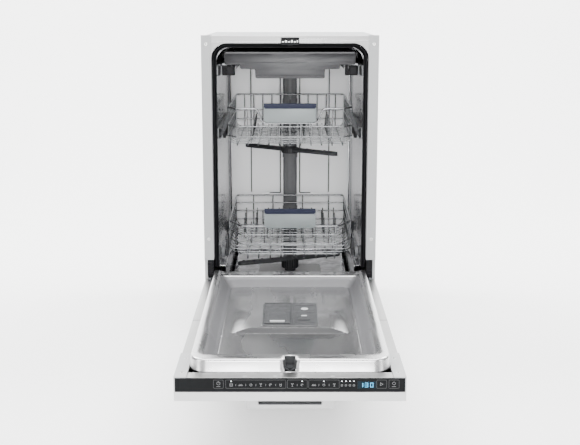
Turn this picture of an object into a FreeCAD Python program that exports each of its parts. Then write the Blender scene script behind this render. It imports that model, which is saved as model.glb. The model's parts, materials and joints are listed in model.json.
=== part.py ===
"""Built-in slimline dishwasher, door open, racks in.

Millimetres, +X to the right, +Y into the cabinet, +Z up.  The origin is on
the floor under the middle of the whole machine with its door open.  Every y
in this file is a depth measured from the cabinet's front plane, and place()
adds front_y to bring it into the frame of the model.
"""
import FreeCAD, Part
import os
import re
import Sketcher

Vector = FreeCAD.Vector

SIZES = {
    # cabinet
    "front_y": 72, "half_wide": 224, "high": 815, "back": 500, "deep": 516, "sheet": 0.8,
    "trim_in": 199, "trim_thick": 3, "trim_foot": 160, "notch_top": 233, "notch_y": 8,
    "strip_in": 217, "base_front": 48, "base_low": 22, "base_high": 80, "panel_low": 40,
    "base_wall": 3, "rail_low": 795, "rail_top": 813, "cover_low": 811,
    "rail_hole_x": 180, "rail_hole_y": 18, "rail_hole_r": 2.25, "catch_half": 22, "catch_back": 18,
    "screw_r": 2, "head_r": 3.9, "screw_gap": 0.1, "felt_half": 197, "felt_front": 60,
    "felt_back": 478, "felt_low": 215, "felt_top": 793,
    # tub
    "tub_half": 188, "tub_y": 36, "tub_back": 484, "tub_top": 784, "tub_floor": 128,
    "ledge": 208, "ledge_half": 170, "tub_round": 40, "rim_half": 201, "rim_top": 797,
    "tub_sheet": 1.5, "sill_top": 180,
    "seal_in": 187, "seal_out": 198.8, "seal_front": 23.6, "seal_top": 795, "seal_low": 782,
    # well in the tub floor and what stands in it
    "well_half": 80, "well_front": 150, "well_back": 320, "well_low": 86, "hub_y": 265,
    "riser_r": 16, "riser_top": 152, "filter_y": 195, "filter_r": 30, "filter_hole": 32.5,
    "salt_x": -128, "salt_y": 100, "neck_r": 24,
    "cup_low": 92, "collar_thick": 3, "cap_high": 14, "tank_left": -165, "tank_front": 60,
    "tank_back": 140, "pump_y": 98, "pump_z": 68, "pump_r": 36, "pump_left": -30, "pump_long": 115,
    "shaft_r": 4, "blade": 3, "drain_x": 130, "drain_z": 66, "drain_r": 28, "spigot_r": 9.5,
    "drain_shaft_r": 3, "valve_x": -150, "valve_z": 92, "valve_half": 18, "valve_low": 66,
    "valve_top": 118, "thread_r": 13.2, "mains_left": 20, "mains_right": 50, "mains_low": 70,
    "mains_top": 92, "duct_half": 21, "duct_deep": 14, "rose_r": 30,
    "foot_x": 185, "foot_front": 84, "foot_back": 450, "shank_r": 5, "shank_top": 70,
    "pad_r": 20, "pad_high": 7, "collar_r": 9, "collar_top": 15, "boss_r": 12, "boss_high": 34,
    # door, given in the open position
    "hinge_y": -17, "hinge_z": 169, "tip": -660, "door_half": 221.5, "door_low": 154,
    "flange": 182.5, "strip_back": -634, "door_near": -6, "arm_x": 203, "bracket_x": 207.2,
    "arm_thick": 3, "arm_far": -240, "arm_half": 10, "ear_thick": 2.8, "ear_half": 8, "ear_back": 66,
    "pin_r": 4, "strip_wall": 2.5, "module_half": 120, "module_deep": 70, "module_top": 172,
    "ridge": 209, "ridge_half": 198, "ridge_near": -4, "ridge_far": -632, "ridge_round": 35,
    "pan_half": 180, "pan_half_far": 174, "pan_jog": -455, "pan_near": -46, "pan_far": -602,
    "pan_floor": 175, "pan_round": 30, "rim_low": 204,
    "plateau_half": 100, "plateau_far": -394, "plateau_near": -212, "plateau_top": 188,
    "soap_half": 63, "soap_far": -384, "soap_near": -225, "soap_low": 162, "cup_left": -54,
    "cup_right": -3, "cup_far": -372, "cup_near": -302, "filler_x": 32, "filler_r": 9,
    "flap_far": -350, "flap_long": 28, "flap_half": 14, "flap_thick": 2,
    "front_low": 135, "front_near": 30, "bar_low": 104, "bar_half": 85.5, "bar_foot": 23,
    "bar_thick": 8.5, "bar_far": -626, "bar_deep": 14,
    "corner_in": 199, "corner_long": 124, "corner_thick": 2.5, "pocket_half": 10,
    # racks
    "rack_front": 40, "rack_back": 460, "wire": 4,
    "low_half": 168, "low_floor": 220, "low_rim": 316, "wheel_r": 17.7, "wheel_z": 227,
    "wheel_in": 177, "wheel_out": 186, "wheel_front": 110, "wheel_back": 400,
    "up_half": 166, "up_floor": 526, "up_rim": 629, "arm_r": 160, "arm_z": 480,
    "blade_half": 17, "blade_thick": 12, "hub_r": 24, "stem_r": 12, "feed_half": 14,
    "lever_front": 70, "lever_y": 145, "lever_z": 585, "lever_half": 7,
    "slide_low": 548, "slide_high": 572, "slide_front": 60, "slide_back": 440,
    "tray_half": 167, "tray_low": 740, "tray_top": 771, "trough_half": 89, "trough_low": 705,
    "tray_slide_low": 712, "tray_slide_high": 735, "tray_wall": 3, "gap": 0.4, "play": 0.05,
    "axle_r": 3, "tine_y": 170, "tine_z": 230, "tine_high": 68, "tine_pitch": 36, "tine_half": 125,
    "tine_r": 2,
}
TINES = 7
RACK_HANDLE_HALF = 68
SEAL_CORNER = 40

doc = FreeCAD.newDocument("Dishwasher")
sheet = doc.addObject("Spreadsheet::Sheet", "Sizes")
for row, (alias, value) in enumerate(SIZES.items(), start=1):
    sheet.set(f"A{row}", alias)
    sheet.set(f"B{row}", str(value))
    sheet.setAlias(f"B{row}", alias)
doc.recompute()

nodes = []


# ---------------------------------------------------------------- helpers

def formula(text):
    """The text of a size with each alias turned into its cell in the sheet."""
    def cell(word):
        return "Sizes." + word.group(0) if word.group(0) in SIZES else word.group(0)
    return re.sub(r"[a-z][a-z_0-9]*", cell, str(text))


def bind(obj, prop, text):
    obj.setExpression(prop, formula(text))


def place(obj, x, y, z):
    """Put the object's own origin at x, depth y and z."""
    bind(obj, "Placement.Base.x", x)
    bind(obj, "Placement.Base.y", f"front_y + ({y})")
    bind(obj, "Placement.Base.z", z)


def block(name, low, high):
    """A box between two corners."""
    box = doc.addObject("Part::Box", name)
    for prop, start, end in zip(("Length", "Width", "Height"), low, high):
        bind(box, prop, f"({end}) - ({start})")
    place(box, *low)
    return box


AXES = {"x": ((0, 1, 0), 90), "y": ((1, 0, 0), -90), "z": ((0, 0, 1), 0)}


def rod(name, start, axis, radius, length):
    """A cylinder from a centre along an axis."""
    cylinder = doc.addObject("Part::Cylinder", name)
    turn, angle = AXES[axis]
    cylinder.Placement = FreeCAD.Placement(Vector(), FreeCAD.Rotation(Vector(*turn), angle))
    bind(cylinder, "Radius", radius)
    bind(cylinder, "Height", length)
    place(cylinder, *start)
    return cylinder


def cut(name, base, *tools):
    """The base with every tool taken out of it."""
    result = doc.addObject("Part::Cut", name)
    result.Base = base
    result.Tool = tools[0] if len(tools) == 1 else join(name + "_tools", *tools)
    return result


def join(name, *shapes):
    """Overlapping or touching shapes as one solid."""
    result = doc.addObject("Part::MultiFuse", name)
    result.Shapes = list(shapes)
    result.Refine = True
    return result


def group(name, *shapes):
    """Separate solids that share one name."""
    result = doc.addObject("Part::Compound", name)
    result.Links = list(shapes)
    return result


def panels(name, shape, boxes):
    """One sheet-metal shape as flat panels that meet along the sides of the boxes."""
    shares = []
    for index, (low, high) in enumerate(boxes):
        share = doc.addObject("Part::Common", f"{name}_{index}")
        share.Base = shape
        share.Tool = block(f"{name}_box_{index}", low, high)
        shares.append(share)
    return group(name, *shares)


def keep(label, obj):
    """Name a finished sub-part, which is then written out."""
    obj.Label = label
    nodes.append(obj)
    return obj


PLANES = {"xy": ("XY_Plane", False), "xz": ("XZ_Plane", True), "yz": ("YZ_Plane", False)}


def sketch_on(body, plane, name):
    """An empty sketch on one of the body's own origin planes."""
    role = PLANES[plane][0]
    sketch = body.newObject("Sketcher::SketchObject", name)
    origin_plane = [f for f in body.Origin.OriginFeatures if f.Role == role][0]
    sketch.AttachmentSupport = (origin_plane, "")
    sketch.MapMode = "FlatFace"
    return sketch


def draw(sketch, corners):
    """A closed outline whose corners are bound to the sheet."""
    last = len(corners)
    for i in range(last):
        here, there = Vector(i, i * i, 0), Vector(i + 1, (i + 1) ** 2, 0)
        sketch.addGeometry(Part.LineSegment(here, there))
    for i in range(last):
        sketch.addConstraint(Sketcher.Constraint("Coincident", i, 2, (i + 1) % last, 1))
    for i, corner in enumerate(corners):
        for kind, text in zip(("DistanceX", "DistanceY"), corner):
            index = sketch.addConstraint(Sketcher.Constraint(kind, -1, 1, i, 1, 1.0 + i))
            name = f"{kind}_{i}"
            sketch.renameConstraint(index, name)
            bind(sketch, "Constraints." + name, text)


def plate(name, plane, corners, start, thick):
    """An outline padded to a thickness; start is its first face."""
    body = doc.addObject("PartDesign::Body", name)
    sketch = sketch_on(body, plane, name + "_outline")
    draw(sketch, corners)
    pad = body.newObject("PartDesign::Pad", name + "_pad")
    pad.Profile = sketch
    pad.Reversed = PLANES[plane][1]
    bind(pad, "Length", thick)
    spot = {"xy": (0, 0, start), "xz": (0, start, 0), "yz": (start, 0, 0)}[plane]
    place(body, *spot)
    return body


def soften(body, axis, radius, chosen=lambda point: True):
    """Round the body's edges that run along an axis, where chosen is true."""
    doc.recompute()
    along = {"x": Vector(1, 0, 0), "y": Vector(0, 1, 0), "z": Vector(0, 0, 1)}[axis]
    names = []
    for index, edge in enumerate(body.Shape.Edges, start=1):
        first, last = edge.Vertexes[0].Point, edge.Vertexes[-1].Point
        run = last - first
        if run.Length > 0 and abs(run.dot(along)) > 0.999 * run.Length and chosen(first):
            names.append(f"Edge{index}")
    last_feature = body.Tip
    fillet = body.newObject("PartDesign::Fillet", body.Name + "_round")
    fillet.Base = (last_feature, names)
    bind(fillet, "Radius", radius)
    body.Tip = fillet
    return body


def rounded(name, plane, low, high, radius, chosen=lambda point: True):
    """A block with rounded edges square to the plane."""
    u, v, w = {"xy": (0, 1, 2), "xz": (0, 2, 1), "yz": (1, 2, 0)}[plane]
    corners = [(low[u], low[v]), (high[u], low[v]), (high[u], high[v]), (low[u], high[v])]
    body = plate(name, plane, corners, low[w], f"({high[w]}) - ({low[w]})")
    return soften(body, "xyz"[w], radius, chosen)


def lattice(name, plane, low, high, columns, rows):
    """A flat panel of crossing bars: a plate with a pattern of windows."""
    u, v, w = {"xy": (0, 1, 2), "xz": (0, 2, 1), "yz": (1, 2, 0)}[plane]
    corners = [(low[u], low[v]), (high[u], low[v]), (high[u], high[v]), (low[u], high[v])]
    body = plate(name, plane, corners, low[w], f"({high[w]}) - ({low[w]})")
    doc.recompute()
    solid = body.Shape.Volume
    wide = f"(({high[u]}) - ({low[u]}) - wire) / {columns}"
    tall = f"(({high[v]}) - ({low[v]}) - wire) / {rows}"
    left, right = f"({low[u]}) + wire", f"({low[u]}) + {wide}"
    foot, head = f"({low[v]}) + wire", f"({low[v]}) + {tall}"
    window = sketch_on(body, plane, name + "_window")
    draw(window, [(left, foot), (right, foot), (right, head), (left, head)])
    pocket = body.newObject("PartDesign::Pocket", name + "_pocket")
    pocket.Profile = window
    pocket.Type = "ThroughAll"
    pocket.Midplane = True
    both = body.newObject("PartDesign::MultiTransform", name + "_grid")
    both.Originals = [pocket]
    patterns = []
    for way, count, span in (("H_Axis", columns, wide), ("V_Axis", rows, tall)):
        pattern = body.newObject("PartDesign::LinearPattern", name + "_" + way)
        pattern.Direction = (window, [way])
        pattern.Occurrences = count
        bind(pattern, "Length", f"{span} * {count - 1}")
        patterns.append(pattern)
    both.Transformations = patterns
    body.Tip = both
    doc.recompute()
    if body.Shape.Volume > 0.7 * solid:
        raise ValueError(name + " kept its windows closed")
    return body


def both_sides(name, build):
    """The same piece built on the left (-1) and on the right (+1)."""
    return [build(name + suffix, sign) for suffix, sign in (("_left", -1), ("_right", 1))]


def span_x(sign, near, far):
    """The low and high x of a piece that lies between two distances from the middle."""
    return (near, far) if sign > 0 else (f"-({far})", f"-({near})")


def side_block(name, sign, near, far, low, high):
    """A block on one side: near and far are distances from the middle, low and high are (y, z)."""
    left, right = span_x(sign, near, far)
    return block(name, (left, *low), (right, *high))


# ---------------------------------------------------------------- cabinet

def tub_shell():
    """Stainless tub: rounded top, wheel ledges along the sides, a rim that carries the seal."""
    def upper(name, grow, front):
        return rounded(name, "xz", (f"-tub_half - {grow}", front, f"ledge - {grow}"),
                       (f"tub_half + {grow}", f"tub_back + {grow}", f"tub_top + {grow}"),
                       f"tub_round + {grow}", lambda point: point.z > SIZES["ledge"] + 10)
    outer = upper("tub_upper", "tub_sheet", "tub_y - tub_sheet")
    foot = block("tub_lower", ("-ledge_half - tub_sheet", "tub_y - tub_sheet", "tub_floor - tub_sheet"),
                 ("ledge_half + tub_sheet", "tub_back + tub_sheet", "ledge"))
    rim = rounded("tub_rim", "xz", ("-rim_half", "tub_y - tub_sheet", "trim_foot"),
                  ("rim_half", "tub_y", "rim_top"), "tub_round + 10",
                  lambda point: point.z > SIZES["ledge"])
    hollow = upper("tub_hollow", "0", "tub_y - 10")
    cellar = block("tub_cellar", ("-ledge_half", "tub_y", "tub_floor"),
                   ("ledge_half", "tub_back", "ledge + 5"))
    mouth = block("tub_mouth", ("-ledge_half", "tub_y - 10", "sill_top"),
                  ("ledge_half", "tub_y + 10", "ledge + 5"))
    well = block("tub_well", ("-well_half", "well_front", "tub_floor - 10"),
                 ("well_half", "well_back", "tub_floor + 10"))
    neck = rod("tub_neck_hole", ("salt_x", "salt_y", "tub_floor - 10"), "z", "neck_r + 0.2", 20)
    shell = join("tub_outside", outer, foot, rim)
    sheet = cut("tub", shell, hollow, cellar, mouth, well, neck)
    wide, bend = "rim_half + 5", "tub_half - tub_round"
    crown, roof = "tub_top - tub_round", "rim_top + 5"
    boxes = []
    for near, far in (("0", "tub_y"), ("tub_y", "tub_back")):
        boxes.append(((f"-({bend})", near, crown), (bend, far, roof)))
        for low, high in (("ledge", crown), (crown, roof)):
            inner = "0" if high == crown else bend
            for sign in (-1, 1):
                left, right = span_x(sign, inner, wide)
                boxes.append(((left, near, low), (right, far, high)))
    for low, near, far in (("sill_top", "0", "tub_y"), ("tub_floor", "tub_y", "tub_back")):
        for sign in (-1, 1):
            left, right = span_x(sign, "0", wide)
            boxes.append(((left, near, low), (right, far, "ledge")))
    boxes.append(((f"-({wide})", "0", "0"), (wide, "tub_y", "sill_top")))
    boxes.append(((f"-({wide})", "tub_y", "0"), (wide, "tub_back", "tub_floor")))
    boxes.append(((f"-({wide})", "tub_back", "0"), (wide, "tub_back + 10", "ledge")))
    boxes.append(((f"-({wide})", "tub_back", "ledge"), (wide, "tub_back + 10", roof)))
    keep("tub_shell", panels("tub_panels", sheet, boxes))


def front_top_rail():
    """Steel rail across the top: an angle with a window for the latch striker."""
    front = block("rail_front", ("-trim_in", "0", "rail_low"), ("trim_in", "sheet", "rail_top"))
    top = block("rail_plate", ("-trim_in", "0", "rail_top - sheet"), ("trim_in", "tub_y", "rail_top"))
    window = block("rail_window", ("-catch_half - 1", -5, "rail_low - 1"),
                   ("catch_half + 1", 5, "rail_low + 14.4"))
    holes = [rod(f"rail_hole_{i}", (x, "rail_hole_y", "rail_top - 5"), "z", "rail_hole_r", 10)
             for i, x in enumerate(("-rail_hole_x", "rail_hole_x"))]
    keep("front_top_rail", cut("rail", join("rail_angle", front, top), window, *holes))


TRIM_SCREW_Z = (793, 289)
TRIM_SCREW_X = 211.5


def side_trims():
    """Light grey front trims, cut back at the foot where the door swings."""
    def trim(name, sign):
        face = side_block(name + "_face", sign, "trim_in", "half_wide",
                          (0, "notch_top"), ("trim_thick", "high"))
        lip = side_block(name + "_lip", sign, "trim_in", "trim_in + 1.6",
                         (0, "notch_top"), ("tub_y - tub_sheet", "high"))
        strip = side_block(name + "_strip", sign, "strip_in", "half_wide",
                           ("notch_y", "trim_foot"), ("notch_y + trim_thick", "notch_top"))
        step = side_block(name + "_step", sign, "strip_in", "half_wide",
                          (0, "notch_top"), ("notch_y + trim_thick", "notch_top + trim_thick"))
        holes = []
        for i, z in enumerate(TRIM_SCREW_Z):
            x = sign * TRIM_SCREW_X
            holes.append(rod(f"{name}_sink_{i}", (x, -1, z), "y", "head_r + screw_gap", 2.8))
            holes.append(rod(f"{name}_hole_{i}", (x, -1, z), "y", "screw_r + screw_gap", 8))
        keep(name, cut(name + "_cut", join(name + "_sum", face, lip, strip, step), *holes))
    both_sides("side_trim", trim)


def trim_screws():
    """Four countersunk screws that hold the trims."""
    screws = []
    for sign in (-1, 1):
        for z in TRIM_SCREW_Z:
            x, name = sign * TRIM_SCREW_X, f"trim_screw_{sign + 1}_{z}"
            head = rod(name + "_head", (x, 0.4, z), "y", "head_r", 1.4)
            shank = rod(name + "_shank", (x, 0.4, z), "y", "screw_r", 12)
            screws.append(join(name, head, shank))
    keep("trim_screws", group("trim_screw_group", *screws))


def door_gasket():
    """Black seal round the sides and top of the mouth, with a straight seal across the sill."""
    def ring(name, side, top, front, back):
        return rounded(name, "xz", (f"-{side}", front, "ledge - 3"), (side, back, top), SEAL_CORNER,
                       lambda point: point.z > SIZES["ledge"] + 10)
    outer = ring("seal_outer", "seal_out", "seal_top", "seal_front", "tub_y - tub_sheet")
    inner = ring("seal_inner", "seal_in", "seal_low", "seal_front - 5", "tub_y + 5")
    mouth = block("seal_mouth", ("-seal_in", 10, "ledge - 20"), ("seal_in", 50, "ledge + 30"))
    arch = cut("seal_arch", outer, inner, mouth)
    sill = block("seal_sill", (-176, 24, 162), (176, "tub_y - tub_sheet", 176))
    keep("door_gasket", group("seals", arch, sill))


def side_panels():
    """Galvanised side sheets, cut away below the door hinge."""
    outline = [("trim_thick", "notch_top + trim_thick"), ("trim_thick", "cover_low"),
               ("back", "cover_low"), ("back", "panel_low"), ("base_front", "panel_low"),
               ("base_front", "trim_foot"), ("notch_y + trim_thick", "trim_foot"),
               ("notch_y + trim_thick", "notch_top + trim_thick")]

    def panel(name, sign):
        start = "half_wide - sheet" if sign > 0 else "-half_wide"
        keep(name, plate(name + "_sheet", "yz", outline, start, "sheet"))
    both_sides("side_panel", panel)


def top_cover():
    keep("top_cover", block("cover", ("-half_wide", "tub_y", "cover_low"),
                            ("half_wide", "back", "cover_low + sheet")))


def mains_hole(name):
    """The opening that the mains socket stands in."""
    return block(name, ("mains_left - 0.2", "back - 20", "mains_low - 0.2"),
                 ("mains_right + 0.2", "back + 10", "mains_top + 0.2"))


def rear_panel():
    """Back sheet with the openings for water, drain and mains."""
    flat = block("rear_sheet", ("-half_wide", "back", "panel_low"),
                 ("half_wide", "back + sheet", "cover_low + sheet"))
    inlet = rod("rear_inlet_hole", ("valve_x", "back - 5", "valve_z"), "y", "thread_r + 1.5", 20)
    drain = rod("rear_drain_hole", ("drain_x", "back - 5", "drain_z"), "y", "spigot_r + 1", 20)
    keep("rear_panel", cut("rear", flat, inlet, drain, mains_hole("rear_mains_hole")))


def insulation_blanket():
    """Felt wrapped over the tub's sides and roof."""
    outer = block("felt_outer", ("-felt_half", "felt_front", "felt_low"),
                  ("felt_half", "felt_back", "felt_top"))
    inner = block("felt_inner", ("-tub_half - tub_sheet - 0.1", 50, 200),
                  ("tub_half + tub_sheet + 0.1", 490, "tub_top + tub_sheet + 0.1"))
    keep("insulation_blanket", cut("felt", outer, inner))


FEET = {"front_left": ("-foot_x", "foot_front"), "front_right": ("foot_x", "foot_front"),
        "rear": ("0", "foot_back")}


def base_pan():
    """Plastic base tray with a threaded boss over each foot."""
    outer = block("base_outer", ("-half_wide + sheet", "base_front", "base_low"),
                  ("half_wide - sheet", "back", "base_high"))
    inner = block("base_inner",
                  ("-half_wide + sheet + base_wall", "base_front + base_wall", "base_low + base_wall"),
                  ("half_wide - sheet - base_wall", "back - base_wall", "base_high + 5"))
    tray = cut("base_tray", outer, inner)
    bosses = [rod(f"base_boss_{name}", (x, y, "base_low"), "z", "boss_r", "boss_high")
              for name, (x, y) in FEET.items()]
    holes = [rod(f"base_hole_{name}", (x, y, "base_low - 5"), "z", "shank_r + play", 60)
             for name, (x, y) in FEET.items()]
    drain = rod("base_drain_hole", ("drain_x", "back - 20", "drain_z"), "y", "spigot_r + 1", 40)
    valve = block("base_valve_gap", ("valve_x - valve_half - 3", "back - 20", "valve_low - 2"),
                  ("valve_x + valve_half + 3", "back + 10", "valve_z"))
    holes += [drain, valve, mains_hole("base_mains_hole")]
    keep("base_pan", cut("base", join("base_sum", tray, *bosses), *holes))


def feet():
    """Screw feet: a pad, a collar to turn it by, and a plain shank where the thread would be."""
    for name, (x, y) in FEET.items():
        pad = rod(f"pad_{name}", (x, y, 0), "z", "pad_r", "pad_high")
        collar = rod(f"collar_{name}", (x, y, "pad_high"), "z", "collar_r", "collar_top - pad_high")
        shank = rod(f"shank_{name}", (x, y, "collar_top"), "z", "shank_r", "shank_top - collar_top")
        keep(f"foot_{name}", join(f"foot_{name}_sum", pad, collar, shank))


def sump_housing():
    """Well under the tub floor with the riser that feeds and carries the lower spray arm."""
    outer = block("sump_outer", ("-well_half - 4", "well_front - 4", "well_low"),
                  ("well_half + 4", "well_back + 4", "tub_floor - tub_sheet"))
    inner = block("sump_inner", ("-well_half", "well_front", "well_low + 3"),
                  ("well_half", "well_back", "tub_floor + 5"))
    riser = rod("sump_riser", (0, "hub_y", "well_low"), "z", "riser_r", "riser_top - well_low")
    bore = rod("sump_bore", (0, "hub_y", "well_low + 3"), "z", "riser_r - 4", "riser_top")
    keep("sump_housing", cut("sump", join("sump_sum", cut("sump_cup", outer, inner), riser), bore))


def filter_plate():
    """Flat fine filter over the well, with holes for the riser and the filter cylinder."""
    flat = rounded("filter_flat", "xy", ("-well_half - 10", "well_front - 10", "tub_floor"),
                   ("well_half + 10", "well_back + 10", "tub_floor + 2"), 24)
    hub = rod("filter_hub_hole", (0, "hub_y", "tub_floor - 5"), "z", "riser_r + 0.3", 20)
    hole = rod("filter_cup_hole", (0, "filter_y", "tub_floor - 5"), "z", "filter_hole", 20)
    keep("filter_plate", cut("filter_sheet", flat, hub, hole))


def filter_cylinder():
    """Coarse filter that turns a quarter to unlock: a tube, a collar and a grip."""
    seat = "tub_floor + 2 + gap"
    tube = rod("coarse_tube", (0, "filter_y", "cup_low"), "z", "filter_r", seat + " - cup_low")
    hollow = rod("coarse_hollow", (0, "filter_y", "cup_low + 2"), "z", "filter_r - 2", 60)
    collar = rod("coarse_collar", (0, "filter_y", seat), "z", "filter_r + 7", "collar_thick")
    grip = block("coarse_grip", ("-filter_r", "filter_y - 2", seat),
                 ("filter_r", "filter_y + 2", "tub_floor + 17"))
    cup = cut("coarse_cup", join("coarse_sum", tube, collar), hollow)
    keep("filter_cylinder", join("coarse_all", cup, grip))


def salt_container():
    """Water softener beside the sump, whose neck stands through the tub floor."""
    tank = block("salt_tank", ("tank_left", "tank_front", "well_low"),
                 ("-well_half - 10", "tank_back", "tub_floor - tub_sheet"))
    neck = rod("salt_neck", ("salt_x", "salt_y", "tub_floor - 5"), "z", "neck_r", 11)
    mouth = rod("salt_mouth", ("salt_x", "salt_y", "well_low + 6"), "z", "neck_r - 4", 60)
    keep("salt_container", cut("softener", join("salt_sum", tank, neck), mouth))


def salt_cap():
    """Screw cap over the neck, with a ridge to grip."""
    cap = rod("cap_body", ("salt_x", "salt_y", "tub_floor + gap"), "z", "neck_r + 6", "cap_high")
    socket = rod("cap_socket", ("salt_x", "salt_y", "tub_floor - 5"), "z", "neck_r + play", 11.4)
    ridge = block("cap_ridge", ("salt_x - 20", "salt_y - 3", "tub_floor + cap_high - 2"),
                  ("salt_x + 20", "salt_y + 3", "tub_floor + cap_high + 8"))
    keep("salt_cap", join("cap_all", cut("cap_shell", cap, socket), ridge))


def circulation_pump():
    """Wash pump in front of the sump: motor, chamber with a bore for the impeller, two ports."""
    motor = rod("pump_motor", ("pump_left", "pump_y", "pump_z"), "x", "pump_r", "pump_long")
    chamber = rod("pump_chamber", ("pump_left + 4", "pump_y", "pump_z"), "x", "pump_r - 5", 20)
    bearing = rod("pump_bearing", ("pump_left + 20", "pump_y", "pump_z"), "x", "shaft_r + play", 30)
    outlet = block("pump_outlet", (20, "pump_y + 20", "well_low + 4"),
                   (44, "well_front - 4", "well_low + 28"))
    keep("circulation_pump", join("pump_all", cut("pump_shell", motor, chamber, bearing), outlet))
    wheel = rod("impeller_disc", ("pump_left + 6", "pump_y", "pump_z"), "x", "pump_r - 8", "blade")
    shaft = rod("impeller_shaft", ("pump_left + 6", "pump_y", "pump_z"), "x", "shaft_r", 42)
    left, right, reach, half = "pump_left + 8", "pump_left + 20", "pump_r - 12", "blade / 2"
    vanes = [block("impeller_vane_y", (left, f"pump_y - ({reach})", f"pump_z - {half}"),
                   (right, f"pump_y + {reach}", f"pump_z + {half}")),
             block("impeller_vane_z", (left, f"pump_y - {half}", f"pump_z - ({reach})"),
                   (right, f"pump_y + {half}", f"pump_z + {reach}"))]
    keep("pump_impeller", join("impeller_all", wheel, shaft, *vanes))


def drain_pump():
    """Small pump at the back whose spigot takes the drain hose."""
    motor = rod("drain_motor", ("drain_x", "back - 74", "drain_z"), "y", "drain_r", 60)
    chamber = rod("drain_chamber", ("drain_x", "back - 34", "drain_z"), "y", "drain_r - 5", 12)
    bearing = rod("drain_bearing", ("drain_x", "back - 60", "drain_z"), "y", "drain_shaft_r + play", 30)
    spigot = rod("drain_spigot", ("drain_x", "back - 20", "drain_z"), "y", "spigot_r", "deep - back + 20")
    bore = rod("drain_bore", ("drain_x", "back - 30", "drain_z"), "y", "spigot_r - 2.5", 60)
    keep("drain_pump", cut("drain_all", join("drain_sum", motor, spigot), chamber, bearing, bore))
    wheel = rod("drain_disc", ("drain_x", "back - 33", "drain_z"), "y", "drain_r - 8", "blade")
    shaft = rod("drain_shaft", ("drain_x", "back - 58", "drain_z"), "y", "drain_shaft_r", 27)
    reach = "drain_r - 10"
    vanes = [block("drain_vane_x", (f"drain_x - ({reach})", "back - 33", "drain_z - 1"),
                   (f"drain_x + {reach}", "back - 24", "drain_z + 1")),
             block("drain_vane_z", ("drain_x - 1", "back - 33", f"drain_z - ({reach})"),
                   ("drain_x + 1", "back - 24", f"drain_z + {reach}"))]
    keep("drain_impeller", join("drain_wheel", wheel, shaft, *vanes))


def inlet_valve():
    """Water valve with a threaded stub for the supply hose."""
    body = block("valve_body", ("valve_x - valve_half", "back - 40", "valve_low"),
                 ("valve_x + valve_half", "back - 1", "valve_top"))
    stub = rod("valve_stub", ("valve_x", "back - 1", "valve_z"), "y", "thread_r", "deep - back + 1")
    bore = rod("valve_bore", ("valve_x", "back - 10", "valve_z"), "y", "thread_r - 3.5", 60)
    keep("inlet_valve", cut("valve", join("valve_sum", body, stub), bore))


def power_inlet():
    """Mains socket in the back, a shell with three blades."""
    shell = block("mains_shell", ("mains_left", "back - 22", "mains_low"),
                  ("mains_right", "back + 4", "mains_top"))
    hollow = block("mains_hollow", ("mains_left + 2.5", "back - 18", "mains_low + 2.5"),
                   ("mains_right - 2.5", "back + 10", "mains_top - 2.5"))
    blades = [block(f"mains_blade_{i}", (f"mains_left + {x - 1}", "back - 19", "mains_low + 8"),
                    (f"mains_left + {x + 1}", "back", "mains_low + 14"))
              for i, x in enumerate((8, 15, 22))]
    keep("power_inlet", join("mains_all", cut("mains_cup", shell, hollow), *blades))


def water_duct():
    """Grey duct up the back wall and along the roof to the ceiling sprayer."""
    wall = block("duct_wall", ("-duct_half", "tub_back - duct_deep", "tub_floor"),
                 ("duct_half", "tub_back", "tub_top"))
    roof = block("duct_roof", ("-duct_half", "hub_y - 20", "tub_top - 10"),
                 ("duct_half", "tub_back", "tub_top"))
    rose = rod("duct_rose", (0, "hub_y", "tub_top - 11"), "z", "rose_r", 11)
    keep("water_duct", join("duct_all", wall, roof, rose))


def latch_striker():
    """Catch that hangs from the top rail into the door's latch pocket."""
    head = block("striker_head", ("-catch_half", -0.5, "rail_low - 5"),
                 ("catch_half", "catch_back", "rail_low + 14"))
    tongue = block("striker_tongue", (-6, 8, "seal_low - 13"), (6, "catch_back", "rail_low"))
    keep("latch_striker", join("striker", head, tongue))


def rails():
    """Fixed rails on the tub walls: one pair for the upper basket, one for the cutlery tray."""
    def rail(low, high):
        return lambda name, sign: side_block(name, sign, "tub_half - 8", "tub_half",
                                             ("slide_front", low), ("slide_back", high))
    upper = both_sides("upper_fixed", rail("slide_low - 3", "slide_high + 3"))
    keep("upper_rails", group("upper_rail_pair", *upper))
    tray = both_sides("tray_fixed", rail("tray_slide_low - 3", "tray_slide_high + 3"))
    keep("tray_rails", group("tray_rail_pair", *tray))


def hinge_brackets():
    """Fixed brackets beside the tub with the holes that the door turns in."""
    def bracket(name, sign):
        ear = side_block(name + "_ear", sign, "bracket_x", "bracket_x + ear_thick",
                         ("hinge_y - ear_half", "hinge_z - ear_half"), ("ear_back", "hinge_z + ear_half"))
        wing = side_block(name + "_wing", sign, "bracket_x", "half_wide - sheet",
                          ("ear_back - 6", "hinge_z - ear_half"), ("ear_back - 3", "hinge_z + 60"))
        middle = f"{sign} * (bracket_x + ear_thick / 2) - 5"
        hole = rod(name + "_hole", (middle, "hinge_y", "hinge_z"), "x", "pin_r + play", 10)
        return cut(name + "_cut", join(name + "_sum", ear, wing), hole)
    keep("hinge_brackets", group("bracket_pair", *both_sides("bracket", bracket)))


# ---------------------------------------------------------------- door

def door_outer_panel():
    """Steel door tray with the flange that shows round the liner."""
    outer = block("outer_skin", ("-door_half", "strip_back", "door_low"),
                  ("door_half", "door_near", "flange"))
    inner = block("outer_hollow", ("-door_half + sheet", "strip_back + sheet", "door_low + sheet"),
                  ("door_half - sheet", "door_near - sheet", "flange - sheet"))
    window = block("outer_window", ("-ridge_half - 0.5", "ridge_far - 0.5", "flange - 5"),
                   ("ridge_half + 0.5", "door_near + 5", "flange + 5"))
    slots = both_sides("outer_slot", lambda name, sign: side_block(
        name, sign, "arm_x - 1", "bracket_x + 5", ("hinge_y - 12", "hinge_z - 11"), (5, "flange + 5")))
    keep("door_outer_panel", cut("outer_door", outer, inner, window, *slots))


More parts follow.
